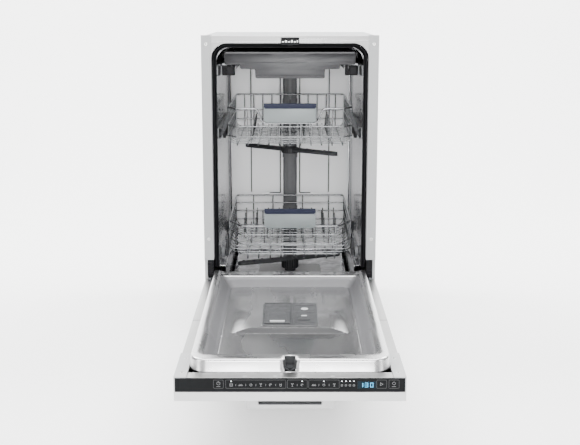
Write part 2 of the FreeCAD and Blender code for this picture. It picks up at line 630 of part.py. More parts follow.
def door_liner():
    """Stainless inner door: a raised ridge round a pan, a plateau for the dispenser."""
    def shell(name, inset, low, top, notch_top):
        body = rounded(name, "xy", (f"-ridge_half + {inset}", f"ridge_far + {inset}", low),
                       (f"ridge_half - {inset}", f"ridge_near - {inset}", top),
                       f"ridge_round - {inset}", lambda point: point.y < -200)
        notch = block(name + "_notch", (f"-pan_half - {inset}", f"pan_near - {inset}", notch_top),
                      (f"pan_half + {inset}", "ridge_near + 5", "ridge + 5"))
        return cut(name + "_cut", body, notch)
    outside = shell("ridge_outer", "0", "flange - sheet", "ridge", "rim_low")
    inside = shell("ridge_inner", "sheet", "flange - 10", "ridge - sheet", "rim_low - sheet")

    def pan(name, grow, low, top):
        near = rounded(name + "_near", "xy", (f"-pan_half - {grow}", f"pan_jog - {grow}", low),
                       (f"pan_half + {grow}", f"pan_near + {grow}", top), f"pan_round + {grow}",
                       lambda point: point.y > -200)
        far = rounded(name + "_far", "xy", (f"-pan_half_far - {grow}", f"pan_far - {grow}", low),
                      (f"pan_half_far + {grow}", "pan_jog + 5", top), f"pan_round + {grow}",
                      lambda point: point.y < -500)
        return join(name, near, far)
    pan_outside = pan("pan_outer", "sheet", "pan_floor - sheet", "rim_low")
    pan_inside = pan("pan_inner", "0", "pan_floor", "ridge + 10")
    plateau = block("plateau_outer", ("-plateau_half", "plateau_far", "pan_floor - sheet"),
                    ("plateau_half", "plateau_near", "plateau_top"))
    under = block("plateau_under", ("-plateau_half + sheet", "plateau_far + sheet", "pan_floor - 10"),
                  ("plateau_half - sheet", "plateau_near - sheet", "plateau_top - sheet"))
    hole = block("plateau_hole", ("-soap_half + 2", "soap_far + 2", "pan_floor - 10"),
                 ("soap_half - 2", "soap_near - 2", "plateau_top + 10"))
    pocket = block("liner_pocket", ("-pocket_half", "ridge_far - 5", "flange + 1.5"),
                   ("pocket_half", "ridge_far + 20", "ridge + 5"))
    ridge_shell = cut("ridge_shell", outside, inside)
    dished = cut("liner_dished", join("liner_sum", ridge_shell, pan_outside), pan_inside)
    keep("door_liner", cut("liner", join("liner_raised", dished, plateau), under, hole, pocket))


DISPLAY = ("130", "166", "161", "176")


def control_strip():
    """Dark touch strip along the door's top edge, a shell with a window for the display."""
    left, right, low, high = DISPLAY
    outer = block("strip_outer", ("-door_half", "tip", "door_low"), ("door_half", "strip_back", "flange"))
    inner = block("strip_inner", ("-door_half + strip_wall", "tip + strip_wall", "door_low + strip_wall"),
                  ("door_half - strip_wall", "strip_back + 5", "flange - strip_wall"))
    window = block("strip_window", (left, "tip - 5", low), (right, "tip + 5", high))
    keep("control_strip", cut("strip", outer, inner, window))
    keep("display_window", block("display", (f"{left} + 0.1", "tip", f"{low} + 0.1"),
                                 (f"{right} - 0.1", "tip + 2.2", f"{high} - 0.1")))


def control_module():
    """Electronics box behind the strip, with the pocket that the striker enters."""
    box = block("module_box", ("-module_half", "strip_back + 4", "door_low + strip_wall"),
                ("module_half", "strip_back + module_deep", "module_top"))
    tower = block("module_tower", ("-pocket_half - 2", "ridge_far + 1.6", "module_top - 1"),
                  ("pocket_half + 2", "ridge_far + 23", "ridge - 2"))
    pocket = block("module_pocket", ("-pocket_half", "ridge_far - 5", "flange + 1.5"),
                   ("pocket_half", "ridge_far + 20", "ridge + 5"))
    keep("control_module", cut("module", join("module_sum", box, tower), pocket))


def latch_hook():
    """Spring-loaded roller bar that the striker's tongue rides over."""
    bar = block("hook_bar", (-8, "ridge_far + 4", "flange + 6"), (8, "ridge_far + 17", "flange + 9"))
    pin = rod("hook_pin", (-9, "ridge_far + 16", "flange + 7.5"), "x", 2, 18)
    keep("latch_hook", join("hook", bar, pin))


BRACKET_SCREWS = (22, 96)
BRACKET_SCREW_X = 210


def door_corner_brackets():
    """Grey caps on the door's two top corners, with countersunk holes."""
    def bracket(name, sign):
        top = side_block(name + "_top", sign, "corner_in", "half_wide - 0.4",
                         ("tip", "flange"), ("tip + corner_long", "flange + corner_thick"))
        side = side_block(name + "_side", sign, "door_half", "half_wide - 0.4",
                          ("tip", "door_low + 2"), ("tip + corner_long", "flange + corner_thick"))
        holes = []
        for offset in BRACKET_SCREWS:
            x = sign * BRACKET_SCREW_X
            y = f"tip + {offset}"
            holes.append(rod(f"{name}_sink_{offset}", (x, y, "flange + 1"), "z", "head_r + screw_gap", 5))
            holes.append(rod(f"{name}_hole_{offset}", (x, y, "flange - 5"), "z", "screw_r + screw_gap", 9))
        return cut(name + "_cut", join(name + "_sum", top, side), *holes)
    keep("door_corner_brackets", group("corner_pair", *both_sides("corner", bracket)))


def door_screws():
    """Screws of the corner brackets: heads only show, short shanks below."""
    screws = []
    for sign in (-1, 1):
        for offset in BRACKET_SCREWS:
            x, name = sign * BRACKET_SCREW_X, f"door_screw_{sign + 1}_{offset}"
            head = rod(name + "_head", (x, f"tip + {offset}", "flange + 1"), "z", "head_r", 1.2)
            shank = rod(name + "_shank", (x, f"tip + {offset}", "flange"), "z", "screw_r", 2)
            screws.append(join(name, head, shank))
    keep("door_screws", group("door_screw_group", *screws))


def dispenser():
    """Dispenser housing with a cup for tablets, a sliding lid and a flap for rinse aid."""
    face = block("soap_face", ("-soap_half", "soap_far", "plateau_top"),
                 ("soap_half", "soap_near", "plateau_top + 2"))
    tank = block("soap_tank", ("-soap_half + 3", "soap_far + 3", "soap_low"),
                 ("soap_half - 3", "soap_near - 3", "plateau_top + 1"))
    cup = block("soap_cup", ("cup_left", "cup_far", "soap_low + 4"), ("cup_right", "cup_near", "ridge"))
    filler = rod("soap_filler", ("filler_x", "flap_far + flap_long / 2", "soap_low + 8"), "z", "filler_r", 30)
    keep("dispenser_housing", cut("soap_box", join("soap_sum", face, tank), cup, filler))
    seat = "plateau_top + 2 + gap"
    lid = rounded("lid_plate", "xy", ("cup_left - 3", "cup_far - 4", seat),
                  ("cup_right + 3", "cup_near + 4", seat + " + 3"), 5)
    grip = block("lid_grip", ("cup_left + 9", "cup_far", seat + " + 3"),
                 ("cup_right - 9", "cup_far + 6", "plateau_top + 8"))
    keep("detergent_lid", join("lid", lid, grip))
    flap = rounded("flap_plate", "xy", ("filler_x - flap_half", "flap_far", seat),
                   ("filler_x + flap_half", "flap_far + flap_long", seat + " + flap_thick"), 4,
                   lambda point: point.y > SIZES["flap_far"] + 5)
    barrel = rod("flap_barrel", ("filler_x - flap_half", "flap_far", seat + " + flap_thick / 2"), "x",
                 "flap_thick / 2", "2 * flap_half")
    keep("rinse_aid_lid", join("flap", flap, barrel))


def furniture_panel():
    """Kitchen front screwed to the door's outside."""
    keep("furniture_panel", block("front_board", ("-half_wide", "tip", "front_low"),
                                  ("half_wide", "front_near", "door_low")))


def panel_handle():
    """Bridge handle: two feet and a bar."""
    grip_low, grip_top = "bar_low + bar_thick", "front_low"
    inside = "bar_half - bar_foot"
    outline = [("-bar_half", "bar_low"), ("bar_half", "bar_low"), ("bar_half", grip_top), (inside, grip_top),
               (inside, grip_low), (f"-({inside})", grip_low), (f"-({inside})", grip_top),
               ("-bar_half", grip_top)]
    keep("panel_handle", plate("bridge", "xz", outline, "bar_far", "bar_deep"))


def hinge_arms():
    """Arms screwed inside the door, with the pins that turn in the brackets."""
    def arm(name, sign):
        bar = side_block(name + "_bar", sign, "arm_x", "arm_x + arm_thick",
                         ("arm_far", "hinge_z - arm_half"), ("hinge_y + arm_half - 1", "hinge_z + arm_half"))
        left = span_x(sign, "arm_x", "bracket_x + 4")[0]
        pin = rod(name + "_pin", (left, "hinge_y", "hinge_z"), "x", "pin_r", "bracket_x + 4 - arm_x")
        return join(name + "_sum", bar, pin)
    keep("hinge_arms", group("arm_pair", *both_sides("arm", arm)))


# ---------------------------------------------------------------- racks

def basket(name, half, floor, rim, columns, deep_columns, rows):
    """Five flat panels of crossing bars that stand round an open space."""
    bottom = lattice(name + "_floor", "xy", (f"-{half} + wire", "rack_front + wire", floor),
                     (f"{half} - wire", "rack_back - wire", f"{floor} + wire"), columns, deep_columns)
    walls = both_sides(name + "_side", lambda side, sign: lattice(
        side, "yz", (span_x(sign, f"{half} - wire", half)[0], "rack_front + wire", floor),
        (span_x(sign, f"{half} - wire", half)[1], "rack_back - wire", rim), deep_columns, rows))
    front = lattice(name + "_front", "xz", (f"-{half}", "rack_front", floor),
                    (half, "rack_front + wire", rim), columns, rows)
    rear = lattice(name + "_rear", "xz", (f"-{half}", "rack_back - wire", floor),
                   (half, "rack_back", rim), columns, rows)
    return [bottom, *walls, front, rear]


def rack_handle(name, low, high):
    """Grey plate that clips in front of a basket."""
    keep(name, rounded(name + "_plate", "xz", (-RACK_HANDLE_HALF, "rack_front - 8", low),
                       (RACK_HANDLE_HALF, "rack_front", high), 5))


def lower_rack():
    """Lower basket on two pairs of wheels, with one row of folding tines."""
    panels = basket("low", "low_half", "low_floor", "low_rim", 8, 9, 4)
    pins = []
    for place_name, y in (("front", "wheel_front"), ("rear", "wheel_back")):
        def wheel(name, sign, y=y):
            left, right = span_x(sign, "wheel_in", "wheel_out")
            tyre = rod(name + "_tyre", (left, y, "wheel_z"), "x", "wheel_r", f"{right} - ({left})")
            bore = rod(name + "_bore", (f"{left} - 5", y, "wheel_z"), "x", "axle_r + play", 30)
            return cut(name + "_cut", tyre, bore)

        def pin(name, sign, y=y):
            left, right = span_x(sign, "low_half", "wheel_out - 1")
            return rod(name, (left, y, "wheel_z"), "x", "axle_r", f"{right} - ({left})")
        pins += both_sides(f"low_pin_{place_name}", pin)
        pair = both_sides(f"wheel_{place_name}", wheel)
        keep(f"lower_wheels_{place_name}", group(f"wheel_pair_{place_name}", *pair))
    keep("lower_basket", group("lower_frame", *panels, *pins))
    rack_handle("lower_basket_handle", "low_rim - 6", "low_rim + 46")
    shaft = rod("tine_shaft", ("-tine_half", "tine_y", "tine_z"), "x", "tine_r", "2 * tine_half")
    teeth = []
    for i in range(TINES):
        x = f"{i - TINES // 2} * tine_pitch"
        teeth.append(block(f"tine_{i}", (f"{x} - 1.5", "tine_y - 1.5", "tine_z"),
                           (f"{x} + 1.5", "tine_y + 1.5", "tine_z + tine_high")))
    keep("lower_fold_tines", join("tines", shaft, *teeth))


def upper_rack():
    """Upper basket on telescopic slides, with levers that let it lift."""
    panels = basket("up", "up_half", "up_floor", "up_rim", 8, 9, 4)
    keep("upper_basket", group("upper_frame", *panels))
    rack_handle("upper_basket_handle", "up_rim - 39", "up_rim + 11")

    def member(near, far):
        return lambda name, sign: side_block(name, sign, near, far, ("slide_front", "slide_low"),
                                             ("slide_back", "slide_high"))
    slides = both_sides("upper_member", member("tub_half - 12", "tub_half - 8 - gap"))
    keep("upper_slides", group("upper_slide_pair", *slides))
    carriers = both_sides("upper_carrier", member("up_half + 2.4", "tub_half - 12 - gap"))
    keep("upper_carriers", group("upper_carrier_pair", *carriers))

    def lever(name, sign):
        plate_part = side_block(name + "_plate", sign, "up_half + gap", "up_half + 2",
                                ("lever_front", "lever_z - lever_half"), ("lever_y", "lever_z + lever_half"))
        left = span_x(sign, "up_half + gap", "up_half + 2")[0]
        eye = rod(name + "_eye", (left, "lever_y", "lever_z"), "x", "lever_half", "2 - gap")
        return join(name, plate_part, eye)
    keep("height_levers", group("lever_pair", *both_sides("lever", lever)))


def cutlery_tray():
    """Shallow cutlery drawer with a deeper trough in the middle."""
    def stack(name, inset, top):
        wings = block(name + "_wings",
                      (f"-tray_half + {inset}", f"rack_front + {inset}", f"tray_low + {inset}"),
                      (f"tray_half - {inset}", f"rack_back - 10 - {inset}", top))
        trough = block(name + "_trough",
                       (f"-trough_half + {inset}", f"rack_front + {inset}", f"trough_low + {inset}"),
                       (f"trough_half - {inset}", f"rack_back - 10 - {inset}", top))
        return join(name, wings, trough)
    shell = cut("tray_shell", stack("tray_outer", "0", "tray_top"),
                stack("tray_inner", "tray_wall", "tray_top + 5"))
    hangers = both_sides("tray_hanger", lambda name, sign: side_block(
        name, sign, "tray_half - 6", "tub_half - 12 - gap",
        ("slide_front", "tray_slide_low"), ("slide_back", "tray_low + 2")))
    keep("cutlery_tray", join("tray", shell, *hangers))
    slides = both_sides("tray_member", lambda name, sign: side_block(
        name, sign, "tub_half - 12", "tub_half - 8 - gap",
        ("slide_front", "tray_slide_low"), ("slide_back", "tray_slide_high")))
    keep("tray_slides", group("tray_slide_pair", *slides))


def spray_blades(name, z, turn):
    """A flat bar centred on the hub's axis, turned from the x axis by an angle in degrees."""
    blade = doc.addObject("Part::Box", name)
    bind(blade, "Length", "2 * arm_r")
    bind(blade, "Width", "2 * blade_half")
    bind(blade, "Height", "blade_thick")
    blade.Placement = FreeCAD.Placement(Vector(), FreeCAD.Rotation(Vector(0, 0, 1), turn))
    along, across = f"cos({turn} deg)", f"sin({turn} deg)"
    place(blade, f"blade_half * {across} - arm_r * {along}",
          f"hub_y - arm_r * {across} - blade_half * {along}", z)
    return blade


def lower_spray_arm():
    """Arm that turns on the sump's riser."""
    blade = spray_blades("low_arm_blades", "riser_top + 6", 20)
    hub = rod("low_hub", (0, "hub_y", "tub_floor + 10"), "z", "hub_r + 2", "riser_top - tub_floor + 12")
    socket = rod("low_socket", (0, "hub_y", "tub_floor"), "z", "riser_r + play",
                 "riser_top + gap - tub_floor")
    keep("lower_spray_arm", cut("low_arm", join("low_arm_sum", blade, hub), socket))


def upper_spray_arm():
    """Arm under the upper basket, on the pipe that brings it water."""
    blade = spray_blades("up_arm_blades", "arm_z", -34)
    hub = rod("up_hub", (0, "hub_y", "arm_z - 4"), "z", "hub_r", 22)
    socket = rod("up_socket", (0, "hub_y", "arm_z + 13"), "z", "stem_r + play", 20)
    keep("upper_spray_arm", cut("up_arm", join("up_arm_sum", blade, hub), socket))
    pipe = block("feed_bar", ("-feed_half", "hub_y - feed_half", "arm_z + 24"),
                 ("feed_half", "tub_back - duct_deep - 1", "arm_z + 42"))
    stem = rod("feed_stem", (0, "hub_y", "arm_z + 14"), "z", "stem_r", 12)
    keep("upper_feed_pipe", join("feed", pipe, stem))


# ---------------------------------------------------------------- build

for build in (tub_shell, front_top_rail, side_trims, trim_screws, door_gasket, side_panels, top_cover,
              rear_panel, insulation_blanket, base_pan, feet, sump_housing, filter_plate, filter_cylinder,
              salt_container, salt_cap, circulation_pump, drain_pump, inlet_valve, power_inlet, water_duct,
              latch_striker, rails, hinge_brackets, door_outer_panel, door_liner, control_strip,
              control_module, latch_hook, door_corner_brackets, door_screws, dispenser, furniture_panel,
              panel_handle, hinge_arms, lower_rack, upper_rack, cutlery_tray, lower_spray_arm,
              upper_spray_arm):
    build()
doc.recompute()

failed = [obj.Name for obj in doc.Objects if {"Invalid", "Error"} & set(obj.State)]
if failed:
    raise ValueError("failed objects: " + ", ".join(failed))
for node in nodes:
    if node.Shape.isNull() or not node.Shape.isValid() or not node.Shape.Solids:
        raise ValueError("no valid solid in " + node.Label)

os.makedirs("parts", exist_ok=True)
for node in nodes:
    node.Shape.exportStep(f"parts/{node.Label}.step")
print(len(nodes), "sub-parts")
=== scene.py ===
"""The looks of a built-in slimline dishwasher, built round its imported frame.

Metres, +X right, +Y into the cabinet, +Z up.  Shapes are written in
millimetres and go through spot(), whose depths are measured from the
cabinet's front plane, which stands FRONT behind the origin.
"""
import json
import math

import bmesh
import bpy
from mathutils import Matrix, Vector


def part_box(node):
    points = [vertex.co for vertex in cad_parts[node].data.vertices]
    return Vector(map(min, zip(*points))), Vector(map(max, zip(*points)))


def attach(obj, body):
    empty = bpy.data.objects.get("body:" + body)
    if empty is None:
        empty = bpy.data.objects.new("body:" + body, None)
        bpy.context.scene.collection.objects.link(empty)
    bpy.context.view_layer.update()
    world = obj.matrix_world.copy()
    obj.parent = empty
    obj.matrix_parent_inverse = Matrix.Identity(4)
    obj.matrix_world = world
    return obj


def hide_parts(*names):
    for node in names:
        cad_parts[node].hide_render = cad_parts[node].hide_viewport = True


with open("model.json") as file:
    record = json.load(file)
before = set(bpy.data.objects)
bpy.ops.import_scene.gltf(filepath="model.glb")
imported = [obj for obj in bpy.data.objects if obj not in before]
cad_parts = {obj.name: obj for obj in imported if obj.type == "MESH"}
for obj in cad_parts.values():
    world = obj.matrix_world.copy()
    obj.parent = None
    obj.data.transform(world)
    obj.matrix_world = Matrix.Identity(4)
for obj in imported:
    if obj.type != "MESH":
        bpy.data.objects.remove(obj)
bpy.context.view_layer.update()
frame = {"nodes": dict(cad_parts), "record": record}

MM = 0.001
HUB_Y = 265
FILTER_Y = 195
WHEEL_Z = 227
RAIL_NEAR, RAIL_FAR = 60, 440
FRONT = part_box("front_top_rail")[0][1] / MM
SLOTS = {part["node"]: part["material_slot"] for part in frame["record"]["subparts"]}


# ---------------------------------------------------------------- materials

def new_material(name):
    """A material with one Principled shader, its node tree and that shader."""
    material = bpy.data.materials.new(name)
    material.use_nodes = True
    tree = material.node_tree
    tree.nodes.clear()
    shader = tree.nodes.new("ShaderNodeBsdfPrincipled")
    out = tree.nodes.new("ShaderNodeOutputMaterial")
    tree.links.new(shader.outputs["BSDF"], out.inputs["Surface"])
    return material, tree, shader


def noise_at(tree, stretch, scale, detail=4.0):
    """A noise over the object's own coordinates, stretched along its axes."""
    coords = tree.nodes.new("ShaderNodeTexCoord")
    mapping = tree.nodes.new("ShaderNodeMapping")
    mapping.inputs["Scale"].default_value = stretch
    texture = tree.nodes.new("ShaderNodeTexNoise")
    texture.inputs["Scale"].default_value = scale
    texture.inputs["Detail"].default_value = detail
    tree.links.new(coords.outputs["Object"], mapping.inputs["Vector"])
    tree.links.new(mapping.outputs["Vector"], texture.inputs["Vector"])
    return texture


RAMP_STOPS = (0.35, 0.65)


def ramp(tree, source, low, high):
    """A colour ramp between two colours or greys."""
    node = tree.nodes.new("ShaderNodeValToRGB")
    for stop, value, place in zip(node.color_ramp.elements, (low, high), RAMP_STOPS):
        stop.color = (*value, 1) if isinstance(value, tuple) else (value, value, value, 1)
        stop.position = place
    tree.links.new(source, node.inputs["Fac"])
    return node


def bump(tree, shader, source, height, distance, edge=0.0):
    """Surface relief from a texture; edge rounds sharp corners in the shading."""
    node = tree.nodes.new("ShaderNodeBump")
    node.inputs["Strength"].default_value = height
    node.inputs["Distance"].default_value = distance
    tree.links.new(source, node.inputs["Height"])
    if edge:
        soft = tree.nodes.new("ShaderNodeBevel")
        soft.samples = 4
        soft.inputs["Radius"].default_value = edge
        tree.links.new(soft.outputs["Normal"], node.inputs["Normal"])
    tree.links.new(node.outputs["Normal"], shader.inputs["Normal"])


def surface(name, tone, spread=0.06, metallic=0.0, rough=(0.3, 0.45), stretch=(1, 1, 1), scale=60.0,
            relief=0.05, depth=0.0004, edge=0.0, fine=None, aniso=0.0, spec=0.5):
    """The common recipe: colour and roughness drift with one noise, relief with a finer one."""
    material, tree, shader = new_material(name)
    wide = noise_at(tree, stretch, scale)
    low = tuple(max(0.0, channel * (1 - spread)) for channel in tone)
    high = tuple(min(1.0, channel * (1 + spread)) for channel in tone)
    tree.links.new(ramp(tree, wide.outputs["Fac"], low, high).outputs["Color"], shader.inputs["Base Color"])
    tree.links.new(ramp(tree, wide.outputs["Fac"], *rough).outputs["Color"], shader.inputs["Roughness"])
    close = noise_at(tree, stretch, fine or scale * 12, 2.0)
    bump(tree, shader, close.outputs["Fac"], relief, depth, edge)
    shader.inputs["Metallic"].default_value = metallic
    shader.inputs["Anisotropic"].default_value = aniso
    shader.inputs["Specular IOR Level"].default_value = spec
    return material


def glowing(name, tone, strength):
    """A lit segment: a dim body colour under its own light."""
    material = surface(name, tone, 0.04, rough=(0.3, 0.4))
    shader = next(n for n in material.node_tree.nodes if n.type == "BSDF_PRINCIPLED")
    shader.inputs["Emission Color"].default_value = (*tone, 1)
    shader.inputs["Emission Strength"].default_value = strength
    return material


# Tub steel: its own grey, plus painted reflection streaks. The wide colour spread is stretched into tall
# vertical bands to stand in for streaky reflections on the walls.
TUB_STEEL_PAINTED_STREAKS = surface("tub_steel", (0.50, 0.50, 0.51), 0.40, 1.0, (0.10, 0.24), (3, 3, 0.12), 16, 0.10,
                    0.0008, 0.002, fine=70)
# Tub back wall: a near-white, barely metallic copy of the tub steel. This is painted light, so the wall reads
# as brightly lit.
TUB_BACK_PAINTED_LIGHT = surface("tub_back_painted_light_steel", (0.93, 0.93, 0.94), 0.02, 0.15, (0.40, 0.52), (1, 1, 0.4), 12, 0.03,
                     0.0004, fine=300)
# Near-black colour for the faces inside the back wall's pressed grooves: painted shade in the creases.
GROOVE_PAINTED_SHADE = surface("groove_painted_shade", (0.05, 0.05, 0.052), 0.15, 0.4, (0.4, 0.5), scale=120)
# Door pan walls: a dark, less metallic copy of the liner steel. This is painted shade on the walls of the
# same pressed sheet.
PAN_WALL_PAINTED_SHADE = surface("pan_wall_painted_shade_steel", (0.115, 0.115, 0.12), 0.10, 0.35, (0.42, 0.52), (1, 0.25, 1), 10, 0.03)
# Plateau front in the door pan: a near-black copy of the liner steel, painted shade on the step's steep face.
STEEL_SHADE = surface("pan_step_painted_shade_steel", (0.045, 0.045, 0.047), 0.10, 0.3, (0.45, 0.55), (1, 0.25, 1), 10,
                      0.03)
STEEL_LINER = surface("liner_steel", (0.50, 0.50, 0.505), 0.05, 1.0, (0.20, 0.32), (1, 0.25, 1), 10, 0.03,
                      0.0004, fine=500)
STEEL_RAIL = surface("rail_steel", (0.24, 0.24, 0.24), 0.07, 1.0, (0.26, 0.38), (0.06, 1, 3), 60, 0.05,
                     0.0003, 0.0006, fine=900, aniso=0.5)
STEEL_DOOR = surface("door_steel", (0.33, 0.33, 0.33), 0.05, 1.0, (0.28, 0.40), (3, 0.1, 1), 50, 0.04,
                     0.0003, 0.0008, fine=900)
SCREW_STEEL = surface("screw_steel", (0.62, 0.62, 0.61), 0.08, 1.0, (0.22, 0.36), scale=300)
WIRE = surface("wire", (0.19, 0.195, 0.20), 0.08, 0.9, (0.16, 0.26), scale=120, relief=0.04)
GALVANISED = surface("galvanised", (0.32, 0.33, 0.34), 0.08, 0.85, (0.34, 0.52), scale=38, relief=0.04,
                     edge=0.0006)
TRIM = surface("trim_grey", (0.27, 0.274, 0.278), 0.02, 0.1, (0.42, 0.52), scale=40, relief=0.03, edge=0.0009)
BRACKET = surface("bracket_grey", (0.34, 0.345, 0.35), 0.03, 0.1, (0.40, 0.52), scale=60, relief=0.05,
                  edge=0.0010)
RUBBER = surface("seal_rubber", (0.005, 0.005, 0.006), 0.2, 0, (0.45, 0.62), scale=90, relief=0.08, spec=0.10)
FELT = surface("felt", (0.16, 0.16, 0.17), 0.3, 0, (0.9, 1.0), scale=240, relief=0.6, depth=0.001)
BASE = surface("base_plastic", (0.03, 0.03, 0.032), 0.12, 0, (0.45, 0.6), scale=90, relief=0.08, edge=0.0012)
GREY_PART = surface("inner_plastic", (0.095, 0.098, 0.103), 0.05, 0, (0.38, 0.5), scale=80, relief=0.06,
                    edge=0.0010)
DARK_PART = surface("dark_plastic", (0.026, 0.027, 0.029), 0.10, 0, (0.34, 0.48), scale=80, relief=0.06,
                    spec=0.2, edge=0.0010)
WHITE_PART = surface("white_plastic", (0.78, 0.78, 0.77), 0.03, 0, (0.3, 0.42), scale=80, relief=0.05,
                     edge=0.0008)
BLACK_PART = surface("black_plastic", (0.006, 0.006, 0.007), 0.15, 0, (0.36, 0.5), scale=80, relief=0.06,
                     spec=0.10, edge=0.0008)
TRAY = surface("tray_grey", (0.050, 0.050, 0.053), 0.04, 0, (0.40, 0.52), scale=70, relief=0.06)
GRIP = surface("grip_grey", (0.130, 0.147, 0.149), 0.03, 0.1, (0.38, 0.46), scale=40, relief=0.04)
GRIP_EDGE = surface("grip_edge", (0.007, 0.009, 0.022), 0.05, 0, (0.40, 0.48), scale=40, relief=0.0,
                    spec=0.15)
SOAP = surface("dispenser_grey", (0.036, 0.037, 0.039), 0.04, 0, (0.34, 0.46), scale=70, relief=0.05,
               edge=0.0006)
SOAP_LIGHT = surface("dispenser_light", (0.34, 0.345, 0.35), 0.04, 0, (0.35, 0.45), scale=70)
STRIP = surface("strip_black", (0.004, 0.0045, 0.005), 0.2, 0, (0.34, 0.40), scale=12, relief=0.0, spec=0.07)
ICON = surface("icon_grey", (0.17, 0.175, 0.18), 0.06, 0, (0.4, 0.5), scale=200)
FRAME_LINE = surface("icon_frame", (0.05, 0.052, 0.055), 0.06, 0, (0.4, 0.5), scale=200)
GLASS = surface("display_dark", (0.004, 0.010, 0.015), 0.1, 0, (0.30, 0.36), scale=30, relief=0.0, spec=0.08)
CYAN = glowing("display_cyan", (0.04, 0.34, 0.60), 1.3)
LED = glowing("led_white", (0.85, 0.92, 0.95), 1.1)
PANEL = surface("front_white", (0.50, 0.50, 0.505), 0.015, 0, (0.30, 0.38), scale=20, relief=0.02,
                edge=0.0010)
HANDLE = surface("handle_grey", (0.40, 0.40, 0.40), 0.03, 0.5, (0.34, 0.44), (0.1, 2, 2), 60, relief=0.04)
MOTOR = surface("motor_metal", (0.11, 0.11, 0.12), 0.15, 0.5, (0.4, 0.55), scale=90, relief=0.08, edge=0.001)
BRASS = surface("brass_part", (0.62, 0.46, 0.20), 0.08, 1.0, (0.25, 0.4), scale=150, edge=0.0006)
MESH_STEEL = surface("filter_mesh", (0.40, 0.40, 0.40), 0.25, 0.8, (0.35, 0.5), scale=700, relief=0.5,
                     depth=0.0006)

BY_SLOT = {
    "tub_steel": TUB_STEEL_PAINTED_STREAKS, "rail_steel": STEEL_RAIL, "trim_grey": TRIM, "screw_steel": SCREW_STEEL,
    "seal_rubber": RUBBER, "galvanised": GALVANISED, "felt": FELT, "base_plastic": BASE,
    "foot_plastic": BLACK_PART, "inner_plastic": GREY_PART, "filter_steel": MESH_STEEL,
    "dark_plastic": DARK_PART, "white_plastic": WHITE_PART, "striker": BLACK_PART,
    "rail_black": BLACK_PART, "door_steel": STEEL_DOOR, "liner_steel": STEEL_LINER, "strip_black": STRIP,
    "display": GLASS, "bracket_grey": BRACKET, "dispenser_grey": SOAP, "front_white": PANEL,
    "handle_grey": HANDLE, "wire": WIRE, "rack_grip": GRIP, "tray_grey": TRAY, "motor_metal": MOTOR,
    "brass_part": BRASS,
}


def dress_nodes():
    """Every CAD node gets the material of its slot."""
    for name, node in frame["nodes"].items():
        node.data.materials.clear()
        node.data.materials.append(BY_SLOT[SLOTS[name]])


# ---------------------------------------------------------------- building

def spot(x, y, z):
    """A point from millimetres, with y a depth behind the cabinet's front plane."""
    return Vector((x * MM, (y + FRONT) * MM, z * MM))


def mount(piece, body, replaces, slot):
    """Let a piece ride on a body and hide the nodes it replaces; the slot is worked out but not used."""
    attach(piece, body)
    if replaces:
        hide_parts(*replaces)
        slot = slot or SLOTS[replaces[0]]
    return piece


def add(name, mesh, body, materials, replaces=(), slot=None, smooth=True):
    """Put a mesh in the scene as a piece that rides on a body."""
    for material in materials if isinstance(materials, (list, tuple)) else [materials]:
        mesh.materials.append(material)
    piece = bpy.data.objects.new(name, mesh)
    bpy.context.scene.collection.objects.link(piece)
    for face in mesh.polygons:
        face.use_smooth = smooth
    return mount(piece, body, replaces, slot)


def from_bmesh(name, bm, body, materials, replaces=(), slot=None, smooth=True):
    """Turn a bmesh into a piece of its body."""
    bmesh.ops.recalc_face_normals(bm, faces=bm.faces)
    mesh = bpy.data.meshes.new(name)
    bm.to_mesh(mesh)
    bm.free()
    return add(name, mesh, body, materials, replaces, slot, smooth)


def bevelled(piece, width, segments=3, angle=35):
    """Round a piece's edges and keep its flats flat."""
    modifier = piece.modifiers.new("round", "BEVEL")
    modifier.width = width * MM
    modifier.segments = segments
    modifier.limit_method = "ANGLE"
    modifier.angle_limit = math.radians(angle)
    modifier.harden_normals = True
    return piece


def block_into(bm, low, high, index=0):
    """A box between two corners, added to a mesh being built."""
    made = bmesh.ops.create_cube(bm, size=1)
    low, high = spot(*low), spot(*high)
    size = high - low
    matrix = Matrix.Translation((low + high) / 2) @ Matrix.Diagonal((*size, 1))
    bmesh.ops.transform(bm, matrix=matrix, verts=made["verts"])
    for face in {f for v in made["verts"] for f in v.link_faces}:
        face.material_index = index
    return made["verts"]


def blocks(name, boxes, body, materials, bevel=0.6, replaces=(), slot=None):
    """Several boxes, each (low, high) or (low, high, material index), with rounded edges."""
    bm = bmesh.new()
    for entry in boxes:
        block_into(bm, *entry)
    piece = from_bmesh(name, bm, body, materials, replaces, slot)
    return bevelled(piece, bevel)


def turned(name, profile, start, axis, body, material, replaces=(), slot=None, steps=48):
    """A body of revolution: profile is (radius, distance along the axis) in millimetres."""
    bm = bmesh.new()
    along = {"x": Vector((1, 0, 0)), "y": Vector((0, 1, 0)), "z": Vector((0, 0, 1))}[axis]
    turn = along.to_track_quat("Z", "Y").to_matrix().to_4x4()
    rings = []
    for radius, height in profile:
        ring = []
        for i in range(steps):
            angle = math.tau * i / steps
            place = (radius * math.cos(angle), radius * math.sin(angle), height)
            ring.append(bm.verts.new([MM * value for value in place]))
        rings.append(ring)
    for lower, upper in zip(rings, rings[1:]):
        for i in range(steps):
            j = (i + 1) % steps
            bm.faces.new((lower[i], lower[j], upper[j], upper[i]))
    if profile[0] != profile[-1]:
        bm.faces.new(rings[0])
        bm.faces.new(rings[-1])
    bmesh.ops.transform(bm, matrix=Matrix.Translation(spot(*start)) @ turn, verts=bm.verts)
    piece = from_bmesh(name, bm, body, material, replaces, slot)
    return bevelled(piece, 0.3, 2, 40)


